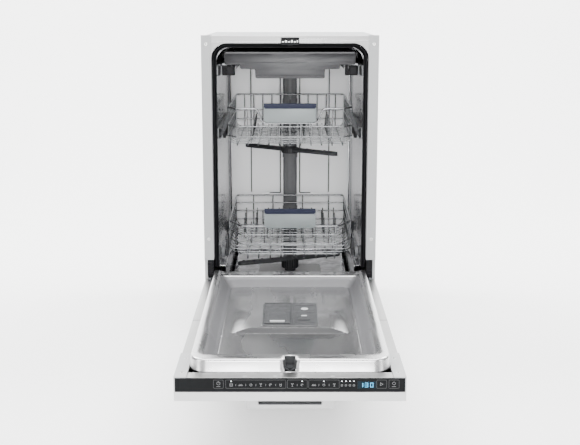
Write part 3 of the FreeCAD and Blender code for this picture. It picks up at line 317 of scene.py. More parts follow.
def wires(name, runs, radius, body, material, replaces=(), slot=None):
    """Bent wires: each run is a list of points in millimetres, with small rounded bends."""
    curve = bpy.data.curves.new(name, "CURVE")
    curve.dimensions = "3D"
    curve.bevel_depth = radius * MM
    curve.bevel_resolution = 3
    curve.use_fill_caps = True
    for run in runs:
        points = rounded_run([spot(*p) for p in run])
        spline = curve.splines.new("POLY")
        spline.points.add(len(points) - 1)
        for point, place in zip(spline.points, points):
            point.co = (*place, 1)
    curve.materials.append(material)
    piece = bpy.data.objects.new(name, curve)
    bpy.context.scene.collection.objects.link(piece)
    return mount(piece, body, replaces, slot)


BEND = 9 * MM
BEND_STEPS = 5


def rounded_run(points):
    """The run with each inner corner turned into a small curve."""
    path = [points[0]]
    for before, corner, after in zip(points, points[1:], points[2:]):
        reach = min(BEND, 0.45 * (corner - before).length, 0.45 * (after - corner).length)
        start = corner + (before - corner).normalized() * reach
        end = corner + (after - corner).normalized() * reach
        for i in range(BEND_STEPS + 1):
            t = i / BEND_STEPS
            path.append(start * (1 - t) ** 2 + corner * 2 * t * (1 - t) + end * t ** 2)
    path.append(points[-1])
    return path


def ring_points(half_x, low_y, high_y, far_round, near_round, count=22):
    """A rounded rectangle in plan: far corners at low y, near corners at high y."""
    corners = [(half_x, high_y, near_round, 0), (-half_x, high_y, near_round, 90),
               (-half_x, low_y, far_round, 180), (half_x, low_y, far_round, 270)]
    points = []
    for x, y, radius, start in corners:
        centre_x = x - math.copysign(radius, x)
        centre_y = y - radius if y == high_y else y + radius
        for i in range(count):
            angle = math.radians(start + 90 * i / (count - 1))
            points.append((centre_x + radius * math.cos(angle), centre_y + radius * math.sin(angle)))
    dense = []
    for i, point in enumerate(points):
        after = points[(i + 1) % len(points)]
        gap = math.dist(point, after)
        steps = 30 if gap > 60 else 1
        for k in range(steps):
            t = k / steps
            dense.append((point[0] + (after[0] - point[0]) * t, point[1] + (after[1] - point[1]) * t))
    return dense


def loft(bm, rings):
    """Join rings of equal length; each ring is a list of points in millimetres."""
    made = [[bm.verts.new(spot(*p)) for p in ring] for ring in rings]
    for lower, upper in zip(made, made[1:]):
        for i in range(len(lower)):
            j = (i + 1) % len(lower)
            bm.faces.new((lower[i], lower[j], upper[j], upper[i]))
    return made


def capped(bm, rings):
    """A loft closed at both ends."""
    made = loft(bm, rings)
    bm.faces.new(made[0])
    bm.faces.new(made[-1])


def sides(near, far):
    """The low and high x of a piece on the left and of its twin on the right."""
    return [tuple(sorted((side * near, side * far))) for side in (-1, 1)]


def step(value, start, end):
    """Smooth step from 0 at start to 1 at end."""
    t = min(1.0, max(0.0, (value - start) / (end - start)))
    return t * t * (3 - 2 * t)


def grid_sheet(bm, rows, half_width, point, columns, skip=None):
    """A sheet woven from rows: each row spans plus and minus half_width(row)."""
    made = []
    for row in rows:
        wide = half_width(row)
        xs = [wide * (2 * i / columns - 1) for i in range(columns + 1)]
        made.append([bm.verts.new(spot(*point(x, row))) for x in xs])
    for lower, upper in zip(made, made[1:]):
        for i in range(columns):
            corners = (lower[i], lower[i + 1], upper[i + 1], upper[i])
            centre = sum((v.co for v in corners), Vector()) / 4
            if skip and skip(centre.x / MM, centre.y / MM - FRONT, centre.z / MM):
                continue
            bm.faces.new(corners)


def spread(start, end, pitch):
    """Evenly spaced values from start to end, about a pitch apart."""
    count = max(1, round(abs(end - start) / pitch))
    return [start + (end - start) * i / count for i in range(count + 1)]


def thick(piece, amount, offset=-1):
    """Give a sheet its gauge, in millimetres."""
    modifier = piece.modifiers.new("gauge", "SOLIDIFY")
    modifier.thickness = amount * MM
    modifier.offset = offset
    return piece


def groove(value, centre, width):
    """1 on a groove's line, falling to 0 at its sides."""
    return max(0.0, 1 - abs(value - centre) / width)


# ---------------------------------------------------------------- cabinet

TUB_HALF, TUB_TOP, TUB_BACK, TUB_ROUND = 188, 784, 484, 40
LEDGE_Z, LEDGE_HALF, TUB_FLOOR = 208, 170, 128
RIM_Y = 35.2
SILL_TOP = 180
GROOVES = (30, 120)


def tub_loop(y, pinch):
    """The tub's cross-section at a depth; pinch draws it in towards the back corners."""
    wave = 0.7 * math.sin(math.tau * (y - 60) / 52) * step(y, 60, 110) * (1 - step(y, 430, 470))
    half, top = TUB_HALF - pinch, TUB_TOP - pinch
    loop = []
    for side in (1, -1):
        leg = [(side * (LEDGE_HALF - pinch), z) for z in spread(TUB_FLOOR + pinch, LEDGE_Z - 4, 26)]
        leg += [(side * (LEDGE_HALF - pinch + 1.2), LEDGE_Z - 1), (side * (LEDGE_HALF - pinch + 4), LEDGE_Z)]
        leg += [(side * (half - 3), LEDGE_Z), (side * (half - 0.8), LEDGE_Z + 0.8),
                (side * half, LEDGE_Z + 4)]
        leg += [(side * (half - wave), z) for z in spread(LEDGE_Z + 24, top - TUB_ROUND - 20, 40)]
        for i in range(13):
            angle = math.radians(90 * i / 12)
            leg.append((side * (half - TUB_ROUND + TUB_ROUND * math.cos(angle)),
                        top - TUB_ROUND + TUB_ROUND * math.sin(angle)))
        loop.append(leg)
    return [(x, y, z) for x, z in loop[0] + loop[1][::-1]]


def back_depth(x, z):
    """The back wall's depth at a point, with pressed grooves."""
    deep = 0.0
    for line in GROOVES:
        if 316 < z < 735:
            deep = max(deep, groove(abs(x), line, 1.6))
    if 30 <= abs(x) <= 75:
        deep = max(deep, groove(z, 316, 1.6))
    if 64 <= abs(x) <= 120:
        deep = max(deep, groove(z, 623, 1.6))
    return TUB_BACK - 1 + 3.2 * deep


def back_half(z):
    """Half the width of the tub's back wall at a height."""
    if z < LEDGE_Z:
        return LEDGE_HALF
    rise = z - (TUB_TOP - TUB_ROUND)
    return TUB_HALF - TUB_ROUND + math.sqrt(max(0, TUB_ROUND ** 2 - rise ** 2)) if rise > 0 else TUB_HALF


def make_tub():
    """Pressed steel tub: walls with ledges, a grooved back wall and a floor that is open over the sump."""
    bm = bmesh.new()
    stations = [(y, 0) for y in (RIM_Y, 38, 44)] + [(y, 0) for y in spread(60, 470, 13)]
    stations += [(TUB_BACK - 12 + 12 * math.sin(a), 12 * (1 - math.cos(a)))
                 for a in (math.radians(d) for d in (20, 45, 70, 85))]
    loft(bm, [tub_loop(y, pinch) for y, pinch in stations])
    floor = [f for f in bm.faces if all(v.co.z < (TUB_FLOOR + 1) * MM for v in f.verts)]
    bmesh.ops.delete(bm, geom=floor, context="FACES")
    heights = sorted(set(spread(TUB_FLOOR, 300, 12) + [312, 314.4, 316, 317.6, 320] + spread(324, 616, 14)
                         + [619, 621.4, 623, 624.6, 627] + spread(632, 732, 14) + spread(735, TUB_TOP, 4)))
    columns = sorted({sign * (line + step_x) for line in GROOVES for step_x in (-4, -1.6, 0, 1.6, 4)
                      for sign in (-1, 1)} | {-188, -176, -160, -148, -134, -100, -82, -64, -48, -12, 12,
                                              48, 64, 82, 100, 134, 148, 160, 176, 188})
    # Back wall: its flat faces wear the painted-light copy of the tub steel.
    made = []
    for z in heights:
        wide = back_half(z)
        xs = [max(-wide, min(wide, x)) for x in columns]
        made.append([bm.verts.new(spot(x, back_depth(x, z), z)) for x in xs])
    for lower, upper in zip(made, made[1:]):
        for i in range(len(columns) - 1):
            widths = [(row[i].co - row[i + 1].co).length for row in (lower, upper)]
            if min(widths) > 1e-6:
                face = bm.faces.new((lower[i], lower[i + 1], upper[i + 1], upper[i]))
                depth = sum(v.co.y for v in face.verts) / 4 / MM - FRONT
                # Faces inside the grooves get painted shade; the other back-wall faces get the painted-light
                # steel.
                face.material_index = 2 if depth > TUB_BACK + 0.4 else 1
    rows = sorted(set(spread(RIM_Y, 150, 14) + spread(150, 320, 17) + spread(320, TUB_BACK, 16)))
    grid_sheet(bm, rows, lambda y: LEDGE_HALF, lambda x, y: (x, y, TUB_FLOOR), 34,
               lambda x, y, z: abs(x) < 80 and 150 < y < 320)
    sill = [bm.verts.new(spot(x, RIM_Y, z)) for x, z in ((-LEDGE_HALF, TUB_FLOOR), (LEDGE_HALF, TUB_FLOOR),
                                                          (LEDGE_HALF, SILL_TOP), (-LEDGE_HALF, SILL_TOP))]
    bm.faces.new(sill)
    inner = tub_loop(RIM_Y, 0)
    outer = []
    for x, y, z in inner:
        if z > LEDGE_Z:
            outer.append((x + math.copysign(11, x), y, z + 11 * step(z, TUB_TOP - TUB_ROUND, TUB_TOP)))
        else:
            outer.append((x, y, z))
    loft(bm, [inner, outer])
    piece = from_bmesh("tub", bm, "cabinet", [TUB_STEEL_PAINTED_STREAKS, TUB_BACK_PAINTED_LIGHT, GROOVE_PAINTED_SHADE], ["tub_shell"])
    return thick(piece, 0.8, 1)


def arch_path(half, top, low, radius, y):
    """Up one side, round two corners and down the other side."""
    path = [(-half, y, z) for z in spread(low, top - radius, 40)]
    for i in range(1, 13):
        angle = math.radians(180 - 90 * i / 12)
        path.append((-half + radius + radius * math.cos(angle), y, top - radius + radius * math.sin(angle)))
    path += [(x, y, top) for x in spread(-half + radius, half - radius, 30)[1:]]
    for i in range(1, 13):
        angle = math.radians(90 - 90 * i / 12)
        path.append((half - radius + radius * math.cos(angle), y, top - radius + radius * math.sin(angle)))
    path += [(half, y, z) for z in spread(top - radius, low, 40)[1:]]
    return path


SEAL_PROFILE = [(-5.6, 0.4), (-5.2, 9.6), (-2.4, 10.8), (3.4, 10.8), (5.6, 8.4), (5.6, 3.2), (4.2, 0.9),
                (2.6, 3.8), (0.4, 4.6), (-1.6, 3.4), (-3.4, 0.4)]


def make_seal():
    """Hollow-lipped rubber seal swept round the mouth, and a lip seal over the sill."""
    bm = bmesh.new()
    path = [Vector(p) for p in arch_path(193, 789, 205.5, 36, 23.7)]
    rings = []
    for i, place in enumerate(path):
        ahead = path[min(i + 1, len(path) - 1)] - path[max(i - 1, 0)]
        outward = Vector((ahead.z, 0, -ahead.x)).normalized() * -1
        rings.append([tuple(place + outward * across + Vector((0, deep, 0)))
                      for across, deep in SEAL_PROFILE])
    capped(bm, rings)
    sill = [(24.4, 163), (33.8, 163), (33.8, 175.6), (30, 175.6), (27.6, 172), (24.4, 175.2)]
    capped(bm, [[(x, y, z) for y, z in sill] for x in (-175.5, -120, 0, 120, 175.5)])
    piece = from_bmesh("mouth_seal", bm, "cabinet", RUBBER, ["door_gasket"])
    return bevelled(piece, 0.5, 2)


def screw_head(name, centre, axis, radius, body, replaces=(), cross=True):
    """A countersunk head with a black cross on its face, painted shade standing for the cross recess."""
    profile = [(0.01, 0), (radius * 0.97, 0), (radius, 0.25), (radius * 0.92, 0.9), (radius * 0.5, 1.9),
               (0.01, 2.0)]
    sign = 1 if axis == "y" else -1
    flipped = [(r, sign * h) for r, h in profile]
    head = turned(name, flipped, centre, axis, body, SCREW_STEEL, replaces, steps=28)
    # The cross is painted shade: black blocks where the recess would be dark.
    if cross:
        x, y, z = centre
        arm, thin = radius * 0.62, radius * 0.15
        if axis == "y":
            boxes = [((x - arm, y - 0.12, z - thin), (x + arm, y + 0.4, z + thin)),
                     ((x - thin, y - 0.12, z - arm), (x + thin, y + 0.4, z + arm))]
        else:
            boxes = [((x - arm, y - thin, z - 0.4), (x + arm, y + thin, z + 0.12)),
                     ((x - thin, y - arm, z - 0.4), (x + thin, y + arm, z + 0.12))]
        blocks(name + "_cross_recess_shade", boxes, body, BLACK_PART, 0.1, slot="screw_steel")
    return head


def make_screws():
    """Cross-head screws of the side trims and of the door's corners."""
    first = True
    for side in (-1, 1):
        for z in (793, 289):
            screw_head(f"trim_screw_{side + 1}_{z}", (side * 211.5, 0.3, z), "y", 3.9, "cabinet",
                       ["trim_screws"] if first else ())
            first = False
    first = True
    for side in (-1, 1):
        for offset in (22, 96):
            screw_head(f"door_screw_{side + 1}_{offset}", (side * 210, -660 + offset, 184.7), "z", 3.9,
                       "door", ["door_screws"] if first else ())
            first = False


def make_gussets():
    """Steel corners that round the mouth's two top corners in front of the seal."""
    bm = bmesh.new()
    for side in (-1, 1):
        turns = [math.radians(7.5 * i) for i in range(13)]
        arc = [(159 + 40 * math.cos(a), 755 + 40 * math.sin(a)) for a in turns]
        outline = [(side * x, z) for x, z in [(199, 755)] + arc + [(159, 795.4), (199, 795.4)]]
        rings = [[(x, y, z) for x, z in outline] for y in (0.1, 0.9)]
        made = loft(bm, rings)
        for ring in made:
            for i in range(len(outline) - 2):
                bm.faces.new((ring[-1], ring[i], ring[i + 1]))
    from_bmesh("rail_corners", bm, "cabinet", STEEL_RAIL, slot="rail_steel", smooth=False)


def make_striker():
    """Black catch with a row of white teeth under the top rail."""
    boxes = [((-22, -0.4, 791), (22, 18, 796.4)), ((-22, -0.4, 803.4), (22, 18, 807)),
             ((-22, 2, 793), (22, 18, 806)), ((-6, 12, 788), (6, 18, 795))]
    for i, x in enumerate((-20, -12.5, -5, 2.5, 10)):
        boxes.append(((x, 0.2, 797), (x + 5, 3, 800 + 2.4 * (i % 2)), 1))
    boxes.append(((17, 0.2, 797), (20, 3, 802.4), 1))
    blocks("striker", boxes, "cabinet", [BLACK_PART, WHITE_PART], 0.5, ["latch_striker"])


def make_hinge_covers():
    """Black covers over the hinge, under the ends of the trims."""
    boxes = []
    for low, high in sides(200.5, 216.5):
        boxes += [((low, 9, 186), (high, 30, 232.6)), ((low, 14, 180), (high, 30, 187))]
        boxes += [((low + 2, 7.6, 190 + 9 * i), (high - 2, 10, 194 + 9 * i)) for i in range(5)]
    blocks("hinge_covers", boxes, "cabinet", BLACK_PART, 0.9, slot="base_plastic")


def make_duct():
    """Back-wall water duct with a rounded face and raised rims, and the roof pipe with its rose."""
    bm = bmesh.new()
    face = [(-21, 484), (-21, 474), (-17, 470.6), (-12, 470), (-9, 471.4), (9, 471.4), (12, 470), (17, 470.6),
            (21, 474), (21, 484)]
    capped(bm, [[(x, y, z) for x, y in face] for z in (128, 200, 400, 600, 774)])
    roof = [(-21, 784), (-21, 777), (-17, 774.4), (17, 774.4), (21, 777), (21, 784)]
    capped(bm, [[(x, y, z) for x, z in roof] for y in (246, 300, 400, 484)])
    for z in (262, 430, 598):
        block_into(bm, (-23, 473, z), (23, 483.6, z + 14))
    piece = from_bmesh("duct", bm, "cabinet", GREY_PART, ["water_duct"])
    bevelled(piece, 0.8)
    turned("ceiling_rose", [(12, 11), (29, 11), (30, 8), (27, 3), (18, 0.6), (6, 0.2), (4, 1.5), (0.01, 1.5)],
           (0, HUB_Y, 773), "z", "cabinet", GREY_PART, slot="inner_plastic")


# ---------------------------------------------------------------- door

RIDGE_Z, RIM_Z, PAN_Z = 209, 204, 175
POCKET_Y = -612


def ridge_top(x, y, z):
    """The ridge runs lower across the hinge side, between its two long sides."""
    return z - (RIDGE_Z - RIM_Z) * step(y, -64, -47) * (1 - step(abs(x), 176, 181))


def pan_side(x, y, level):
    """The pan narrows a little towards the tip; level is 1 at the ridge and 0 at the floor."""
    return x - math.copysign(6 * level * step(-y, 452, 460), x)


def pan_height(x, y):
    """The pan's floor: a ramp up to a plateau with a sharp front, and three pressed lines."""
    ramp_up = step(-y, 206, 330) * (1 - step(-y, 391, 395))
    taper = 1 - step(abs(x), 84, 134)
    lines = max(groove(x, line, 2.2) for line in (-85, 4, 82)) * step(-y, 66, 78) * (1 - step(-y, 186, 200))
    return PAN_Z + 12.6 * ramp_up * taper - 1.3 * lines


def pan_half(y):
    """The floor's half-width, rounded in its corners."""
    end = min(abs(y + 589), abs(y + 55.5))
    return 151 - (14 - math.sqrt(max(0.0, 14 ** 2 - (14 - min(end, 14)) ** 2)))


def make_liner():
    """Door liner: a raised rim and a dished pan with pressed steps."""
    bm = bmesh.new()
    outside = [(199.2, -633.4, -3.2, 182.7), (198.4, -632.4, -4.0, 184.4), (197.2, -631.0, -4.6, 203.5),
               (196.2, -629.8, -5.4, 206.6), (194.2, -627.4, -7.4, 208.5), (191.6, -624.0, -10, 209),
               (186.0, -612.0, -26, 209), (181.6, -604.6, -41, 208.8), (180.0, -602.4, -44, 207.8)]
    rings = []
    for half, low_y, high_y, z in outside:
        ring = ring_points(half, low_y, high_y, half - 163, 4 if z < 208.9 else 8)
        rings.append([(x, y, ridge_top(x, y, z)) for x, y in ring])
    for i in range(1, 9):
        t = i / 8
        ease = t * t * (3 - 2 * t)
        half, low_y, high_y = 180 - 29.6 * t, -602.4 + 13 * t, -44 - 11 * t
        ring = ring_points(half, low_y, high_y, 17 - 3 * t, 17 - 3 * t)
        z = 207.8 - (207.8 - PAN_Z + 0.4) * ease
        rings.append([(pan_side(x, y, 1 - t), y, ridge_top(x, y, z) if i < 3 else z) for x, y in ring])
    shifted = [rings[0]]
    for i, ring in enumerate(rings[1:], start=1):
        shifted.append([(pan_side(x, y, 1), y, z) if 7 <= i <= 8 else (x, y, z) for x, y, z in ring])
    loft(bm, shifted)
    # Faces on the pan's walls get the painted-shade copy of the liner steel.
    for face in bm.faces:
        centre = face.calc_center_median() / MM
        if PAN_Z < centre.z < 205.5 and abs(centre.x) < 178 and -602 < centre.y - FRONT < -45:
            face.material_index = 1
    hole = []
    for face in bm.faces:
        centre = face.calc_center_median() / MM
        if abs(centre.x) < 10.8 and centre.y - FRONT < POCKET_Y and centre.z > 184.5:
            hole.append(face)
    bmesh.ops.delete(bm, geom=hole, context="FACES")
    rows = spread(-589, -398, 6) + spread(-397, -389, 1) + spread(-388, -200, 4) + spread(-198, -56, 5)
    rows = sorted(set(rows))
    grid_sheet(bm, rows, pan_half, lambda x, y: (x, y, pan_height(x, y)), 150)
    # Faces on the plateau's steep front get painted shade.
    for face in bm.faces:
        face.normal_update()
        centre = face.calc_center_median() / MM
        if abs(face.normal.y) > 0.4 and abs(centre.x) < 134 and -397 < centre.y - FRONT < -389:
            face.material_index = 2
    piece = from_bmesh("liner", bm, "door", [STEEL_LINER, PAN_WALL_PAINTED_SHADE, STEEL_SHADE], ["door_liner"])
    return thick(piece, 0.7)


def make_latch_trim():
    """Dark pocket frame in the liner's end wall: a pentagon that points down."""
    bm = bmesh.new()
    outline = [(-10.8, 208.6), (-10.8, 191), (0, 184.4), (10.8, 191), (10.8, 208.6)]
    inner = [(-8.6, 208.6), (-8.6, 192), (0, 186.6), (8.6, 192), (8.6, 208.6)]
    front = [[(x, -633.2, z) for x, z in outline], [(x, -633.2, z) for x, z in inner],
             [(x, -629, z) for x, z in inner]]
    rings = [[bm.verts.new(spot(*p)) for p in ring] for ring in front]
    for lower, upper in zip(rings, rings[1:]):
        for i in range(4):
            bm.faces.new((lower[i], lower[i + 1], upper[i + 1], upper[i]))
    piece = from_bmesh("latch_frame", bm, "door", DARK_PART, slot="dark_plastic", smooth=False)
    return thick(piece, 0.5)


def make_dispenser():
    """Dispenser face with a slide track, a raised rinse-aid panel and pressed outlines."""
    blocks("dispenser_box", [((-60, -381, 162), (60, -228, 187))], "door", SOAP, 2.0, slot="dispenser_grey")
    bm = bmesh.new()
    rings = []
    for grow, z in ((0, 186.5), (0, 188.6), (-0.8, 189.6), (-2.2, 190)):
        corners = ring_points(63 + grow, -384 - grow, -225 + grow, 10 + grow, 10 + grow, 8)
        rings.append([(x, y, z) for x, y in corners])
    made = loft(bm, rings)
    bm.faces.new(made[-1])
    piece = from_bmesh("dispenser_face", bm, "door", SOAP, ["dispenser_housing"])
    bevelled(piece, 0.4)
    tracks = [((-60.5, -380, 189.6), (-58, -229, 191.6)), ((1, -380, 189.6), (3.5, -229, 191.6)),
              ((-58, -382, 189.6), (3.5, -380, 191.2)), ((-58, -230.5, 189.6), (3.5, -228.5, 191.2)),
              ((8, -380, 189.6), (9.6, -229, 190.8)), ((12, -300, 189.6), (56, -298.6, 190.8)),
              ((12, -246, 189.6), (56, -244.6, 190.8)), ((12, -366, 189.6), (56, -364.6, 190.8))]
    blocks("dispenser_tracks", tracks, "door", SOAP, 0.3, slot="dispenser_grey")
    window = [(2, 0), (8, 0), (8.6, 1.2), (6.6, 1.6), (0.01, 1.2)]
    turned("rinse_level_eye", window, (34, -272, 189.8), "z", "door", SOAP_LIGHT, slot="dispenser_grey")
    lid = [((-57, -376, 190.4), (0, -298, 193.2)), ((-45, -372, 193), (-12, -366, 196), 1),
           ((-50, -360, 192.8), (-7, -306, 193.9)), ((-46, -356, 193.4), (-11, -354.6, 194.5)),
           ((-46, -311.4, 193.4), (-11, -310, 194.5))]
    blocks("lid", lid, "detergent_lid", [SOAP, SOAP_LIGHT], 0.7, ["detergent_lid"])
    flap = [((18, -350.9, 190.5), (46, -322, 192.2)), ((21, -347, 192), (43, -345.4, 192.9)),
            ((41.4, -347, 192), (43, -326, 192.9)), ((21, -347, 192), (22.6, -326, 192.9)),
            ((26, -329, 192), (38, -324, 193.4), 1)]
    blocks("flap", flap, "rinse_aid_lid", [SOAP, SOAP_LIGHT], 0.5, ["rinse_aid_lid"])


STRIP_Y = -660
ICON_Z = 168.4


def flat_strokes(name, strokes, width, material, closed=False):
    """Thin printed strokes on the strip's face: each is a list of (x, z)."""
    bm = bmesh.new()
    for stroke in strokes:
        points = [Vector((x, 0, z)) for x, z in stroke]
        if closed:
            points.append(points[0])
        for start, end in zip(points, points[1:]):
            along = (end - start).normalized() * width * 0.5
            across = Vector((-along.z, 0, along.x))
            quad = [start - along - across, end + along - across, end + along + across,
                    start - along + across]
            bm.faces.new([bm.verts.new(spot(p.x, STRIP_Y - 0.15, p.z)) for p in quad])
    piece = from_bmesh(name, bm, "door", material, slot="strip_black", smooth=False)
    return thick(piece, 0.12)


def rounded_frame(left, right, low, high, radius=1.6, steps=4):
    """A rounded rectangle in elevation, as (x, z) points."""
    points = []
    for x, z, start in ((right - radius, high - radius, 0), (left + radius, high - radius, 90),
                        (left + radius, low + radius, 180), (right - radius, low + radius, 270)):
        for i in range(steps + 1):
            angle = math.radians(start + 90 * i / steps)
            points.append((x + radius * math.cos(angle), z + radius * math.sin(angle)))
    return points


def circle(x, z, radius, count=14, start=0, turn=360):
    """Points along a circle or an arc in the xz plane, angles in degrees."""
    return [(x + radius * math.cos(math.radians(start + turn * i / count)),
             z + radius * math.sin(math.radians(start + turn * i / count))) for i in range(count + 1)]


def program_icon(kind, x, z):
    """A small generic sign, one of six kinds."""
    s = 2.6
    signs = [
        [[(x - s, z - s), (x - s, z + s), (x + s, z + s), (x + s, z - s), (x - s, z - s)],
         [(x - s, z), (x + s, z)]],
        [circle(x - 1.6, z, 1.4), circle(x + 1.9, z, 1.4), [(x - 4.2, z - 1.6), (x + 4.4, z - 1.6)]],
        [circle(x, z, 2.4), [(x, z), (x, z + 1.6)], [(x, z), (x + 1.2, z)]],
        [[(x - 2.2, z + 2.6), (x + 2.2, z + 2.6), (x, z), (x - 2.2, z + 2.6)], [(x, z), (x, z - 2.4)],
         [(x - 1.4, z - 2.6), (x + 1.4, z - 2.6)]],
        [circle(x, z, 2.4, 10, 30, 240), [(x - 1.8, z - 1), (x + 2.4, z + 1.8)]],
        [[(x - 1.6, z + 2.6), (x - 1.6, z - 2), (x, z - 2.8), (x + 1.6, z - 2), (x + 1.6, z + 2.6)],
         [(x - 1.6, z + 1), (x + 1.6, z + 1)]],
    ]
    return signs[kind % len(signs)]


def make_controls():
    """Touch signs, frames, lamps and a lit clock on the strip along the door's top edge."""
    low, high = 161.5, 178.5
    frames = [rounded_frame(left, right, low, high) for left, right in
              ((-147, -128), (-123.5, -8), (-5, 33), (36, 94.5), (166.5, 185.5), (190, 209.5))]
    flat_strokes("sign_frames", frames, 0.45, FRAME_LINE, closed=True)
    strokes = circle(-137.5, 171.5, 3.2, 14, 110, 320)
    signs = [strokes, [(-137.5, 172), (-137.5, 176)], [(-141, 165), (-134, 165)]]
    for kind, x in enumerate((-113, -95, -75, -56, -37.5, -18)):
        signs += program_icon(kind, x, ICON_Z)
    for kind, x in enumerate((4.4, 23.3)):
        signs += program_icon(kind + 3, x, ICON_Z)
    for kind, x in enumerate((46, 65, 85)):
        signs += program_icon(kind + 1, x, ICON_Z)
    for x in (99.7, 107.4, 115, 122.7):
        signs.append([(x - 1.6, 166), (x + 1.6, 166), (x + 1.6, 169), (x - 1.6, 169), (x - 1.6, 166)])
    signs += [[(173.5, 167), (173.5, 173), (178.6, 170), (173.5, 167)]]
    signs += [circle(199.6, 171.5, 2.8), [(196, 165), (203.2, 165)]]
    dividers = [[(x, 166.6), (x, 170)] for x in (-104, -85, -65.5, -46.5, -27.5, 13.8, 55.5, 75)]
    flat_strokes("signs", signs + dividers, 0.55, ICON)
    lamps = [[(x - 0.5, z), (x + 0.5, z)] for x, z in
             ((-113, 176), (23.3, 176), (65, 176), (99.7, 176), (107.4, 176), (115, 176), (122.7, 176))]
    flat_strokes("lamps", lamps, 1.3, LED)
    make_clock()


SEGMENTS = {"1": "bc", "3": "abgcd", "0": "abcdef"}


def make_clock():
    """Seven-segment digits 1:30 in the display window."""
    wide, tall = 5.0, 4.1
    strokes = []
    for digit, left in (("1", 134.5), ("3", 144.5), ("0", 154.5)):
        right, base = left + wide, 164.2
        mid, top = base + tall, base + 2 * tall
        bars = {"a": ((left, top), (right, top)), "b": ((right, mid + 0.4), (right, top - 0.4)),
                "c": ((right, base + 0.4), (right, mid - 0.4)), "d": ((left, base), (right, base)),
                "e": ((left, base + 0.4), (left, mid - 0.4)), "f": ((left, mid + 0.4), (left, top - 0.4)),
                "g": ((left, mid), (right, mid))}
        strokes += [list(bars[s]) for s in SEGMENTS[digit]]
    strokes += [[(142, 166.4), (142, 166.5)], [(142, 170.4), (142, 170.5)]]
    flat_strokes("clock", strokes, 1.05, CYAN)


def make_handle():
    """Bridge handle with rounded edges."""
    bm = bmesh.new()
    outline = [(-85.5, 104), (85.5, 104), (85.5, 135), (62.5, 135), (62.5, 112.5), (-62.5, 112.5),
               (-62.5, 135), (-85.5, 135)]
    rings = [[(x, y, z) for x, z in outline] for y in (-626, -612)]
    capped(bm, rings)
    bevelled(from_bmesh("bridge_handle", bm, "door", HANDLE, ["panel_handle"]), 1.6, 4)
    # A dark strip along the handle's lower lip: painted shadow of the finger gap.
    strip = [((-62, -625, 111.9), (62, -613, 115)), ((-60, -624, 114.6), (60, -614, 115.6))]
    blocks("finger_gap_shadow_strip", strip, "door", DARK_PART, 0.5, slot="dark_plastic")


def make_clips():
    """Small steel clips where the liner meets the strip."""
    boxes = []
    for x in (-87, -29, 26, 82):
        boxes.append(((x - 4, -656, 182.3), (x + 4, -650, 183.6)))
        boxes.append(((x - 1.5, -654, 183.4), (x + 1.5, -652, 184.2)))
    blocks("strip_clips", boxes, "door", BRACKET, 0.4, slot="bracket_grey")
    flange = [((-199, -659, 182.2), (199, -634, 182.9)), ((-199, -659.6, 181.6), (199, -658.4, 182.9))]
    blocks("tip_flange", flange, "door", STEEL_DOOR, 0.3, slot=SLOTS["door_outer_panel"])
    seams = []
    for low, high in sides(199.4, 221.4):
        seams.append(((low, -328.6, 182.2), (high, -327.8, 182.9)))
    blocks("flange_seams", seams, "door", DARK_PART, 0.1, slot="door_steel")


# ---------------------------------------------------------------- racks

RACK_FRONT, RACK_BACK = 40, 460
HANDLE_HALF = 68
LOWER_CORNER = (36, 66)
UPPER_CORNER = (22, 34)


def hoop(half, z, corner, dip=None):
    """A wire round a basket, its front corners swept back; a dip goes under the handle plate."""
    front, back = RACK_FRONT + 2.4, RACK_BACK - 2.4
    across, deep = corner
    right = [(half - across, front, z), (half, front + deep, z), (half, back, z)]
    if dip:
        right = [(HANDLE_HALF + 2, front, dip), (HANDLE_HALF + 18, front, z)] + right
    left = [(-x, y, level) for x, y, level in right[::-1]]
    middle = (0, front, dip or z)
    return [middle] + right + left + [middle]


def cradle(half, y, floor, rim):
    """A wire down one side, across the floor and up the other side."""
    return [(-half, y, rim), (-half, y, floor + 14), (-half + 12, y, floor), (half - 12, y, floor),
            (half, y, floor + 14), (half, y, rim)]


def runner(x, floor, front_top, back_top):
    """A wire down the front, back along the floor and up the back."""
    return [(x, RACK_FRONT + 2, front_top), (x, RACK_FRONT + 2, floor + 10), (x, RACK_FRONT + 12, floor),
            (x, RACK_BACK - 12, floor), (x, RACK_BACK - 2, floor + 10), (x, RACK_BACK - 2, back_top)]


def make_lower_basket():
    """Lower basket: bent wire, wheels on brackets and a folding row of tines."""
    half, floor = 164.5, 224
    wires("lower_rim", [hoop(half, 313.4, LOWER_CORNER)], 2.4, "lower_rack", WIRE, ["lower_basket"])
    middle = [hoop(half + 1, z, LOWER_CORNER) for z in (290, 265, 238)]
    middle += [cradle(half + 1, y, floor, 312) for y in spread(118, 438, 32)]
    wires("lower_sides", middle, 1.6, "lower_rack", WIRE, slot="wire")
    runs = [runner(x, floor - 2, 312, 312) for x in (-113, -53, 39, 120)]
    runs += [runner(x, floor - 2, 240, 266) for x in (-84, -24, 8, 70, 98)]
    wires("lower_runners", runs, 1.6, "lower_rack", WIRE, slot="wire")
    tines = []
    for y in (262, 330, 398):
        tines += [[(x, y, floor), (x, y + 3, floor + 62)] for x in spread(-132, 132, 33)]
        tines.append([(-150, y, floor + 1), (150, y, floor + 1)])
    wires("lower_fixed_tines", tines, 1.5, "lower_rack", WIRE, slot="wire")
    boxes = []
    for side in (-1, 1):
        for y in (110, 400):
            low, high = sorted((side * 167, side * 174.5))
            boxes += [((low, y - 20, 219), (high, y + 20, 236)), ((low, y - 9, 232), (high, y + 9, 262))]
    blocks("wheel_brackets", boxes, "lower_rack", DARK_PART, 1.6, slot="dark_plastic")
    for name, y in (("front", 110), ("rear", 400)):
        make_wheels(name, y)
    folding = [[(-125, 170, 230), (125, 170, 230)]]
    folding += [[(i * 36, 170, 230), (i * 36, 170, 296)] for i in range(-3, 4)]
    wires("folding_tines", folding, 1.7, "lower_fold_tines", WIRE, ["lower_fold_tines"])


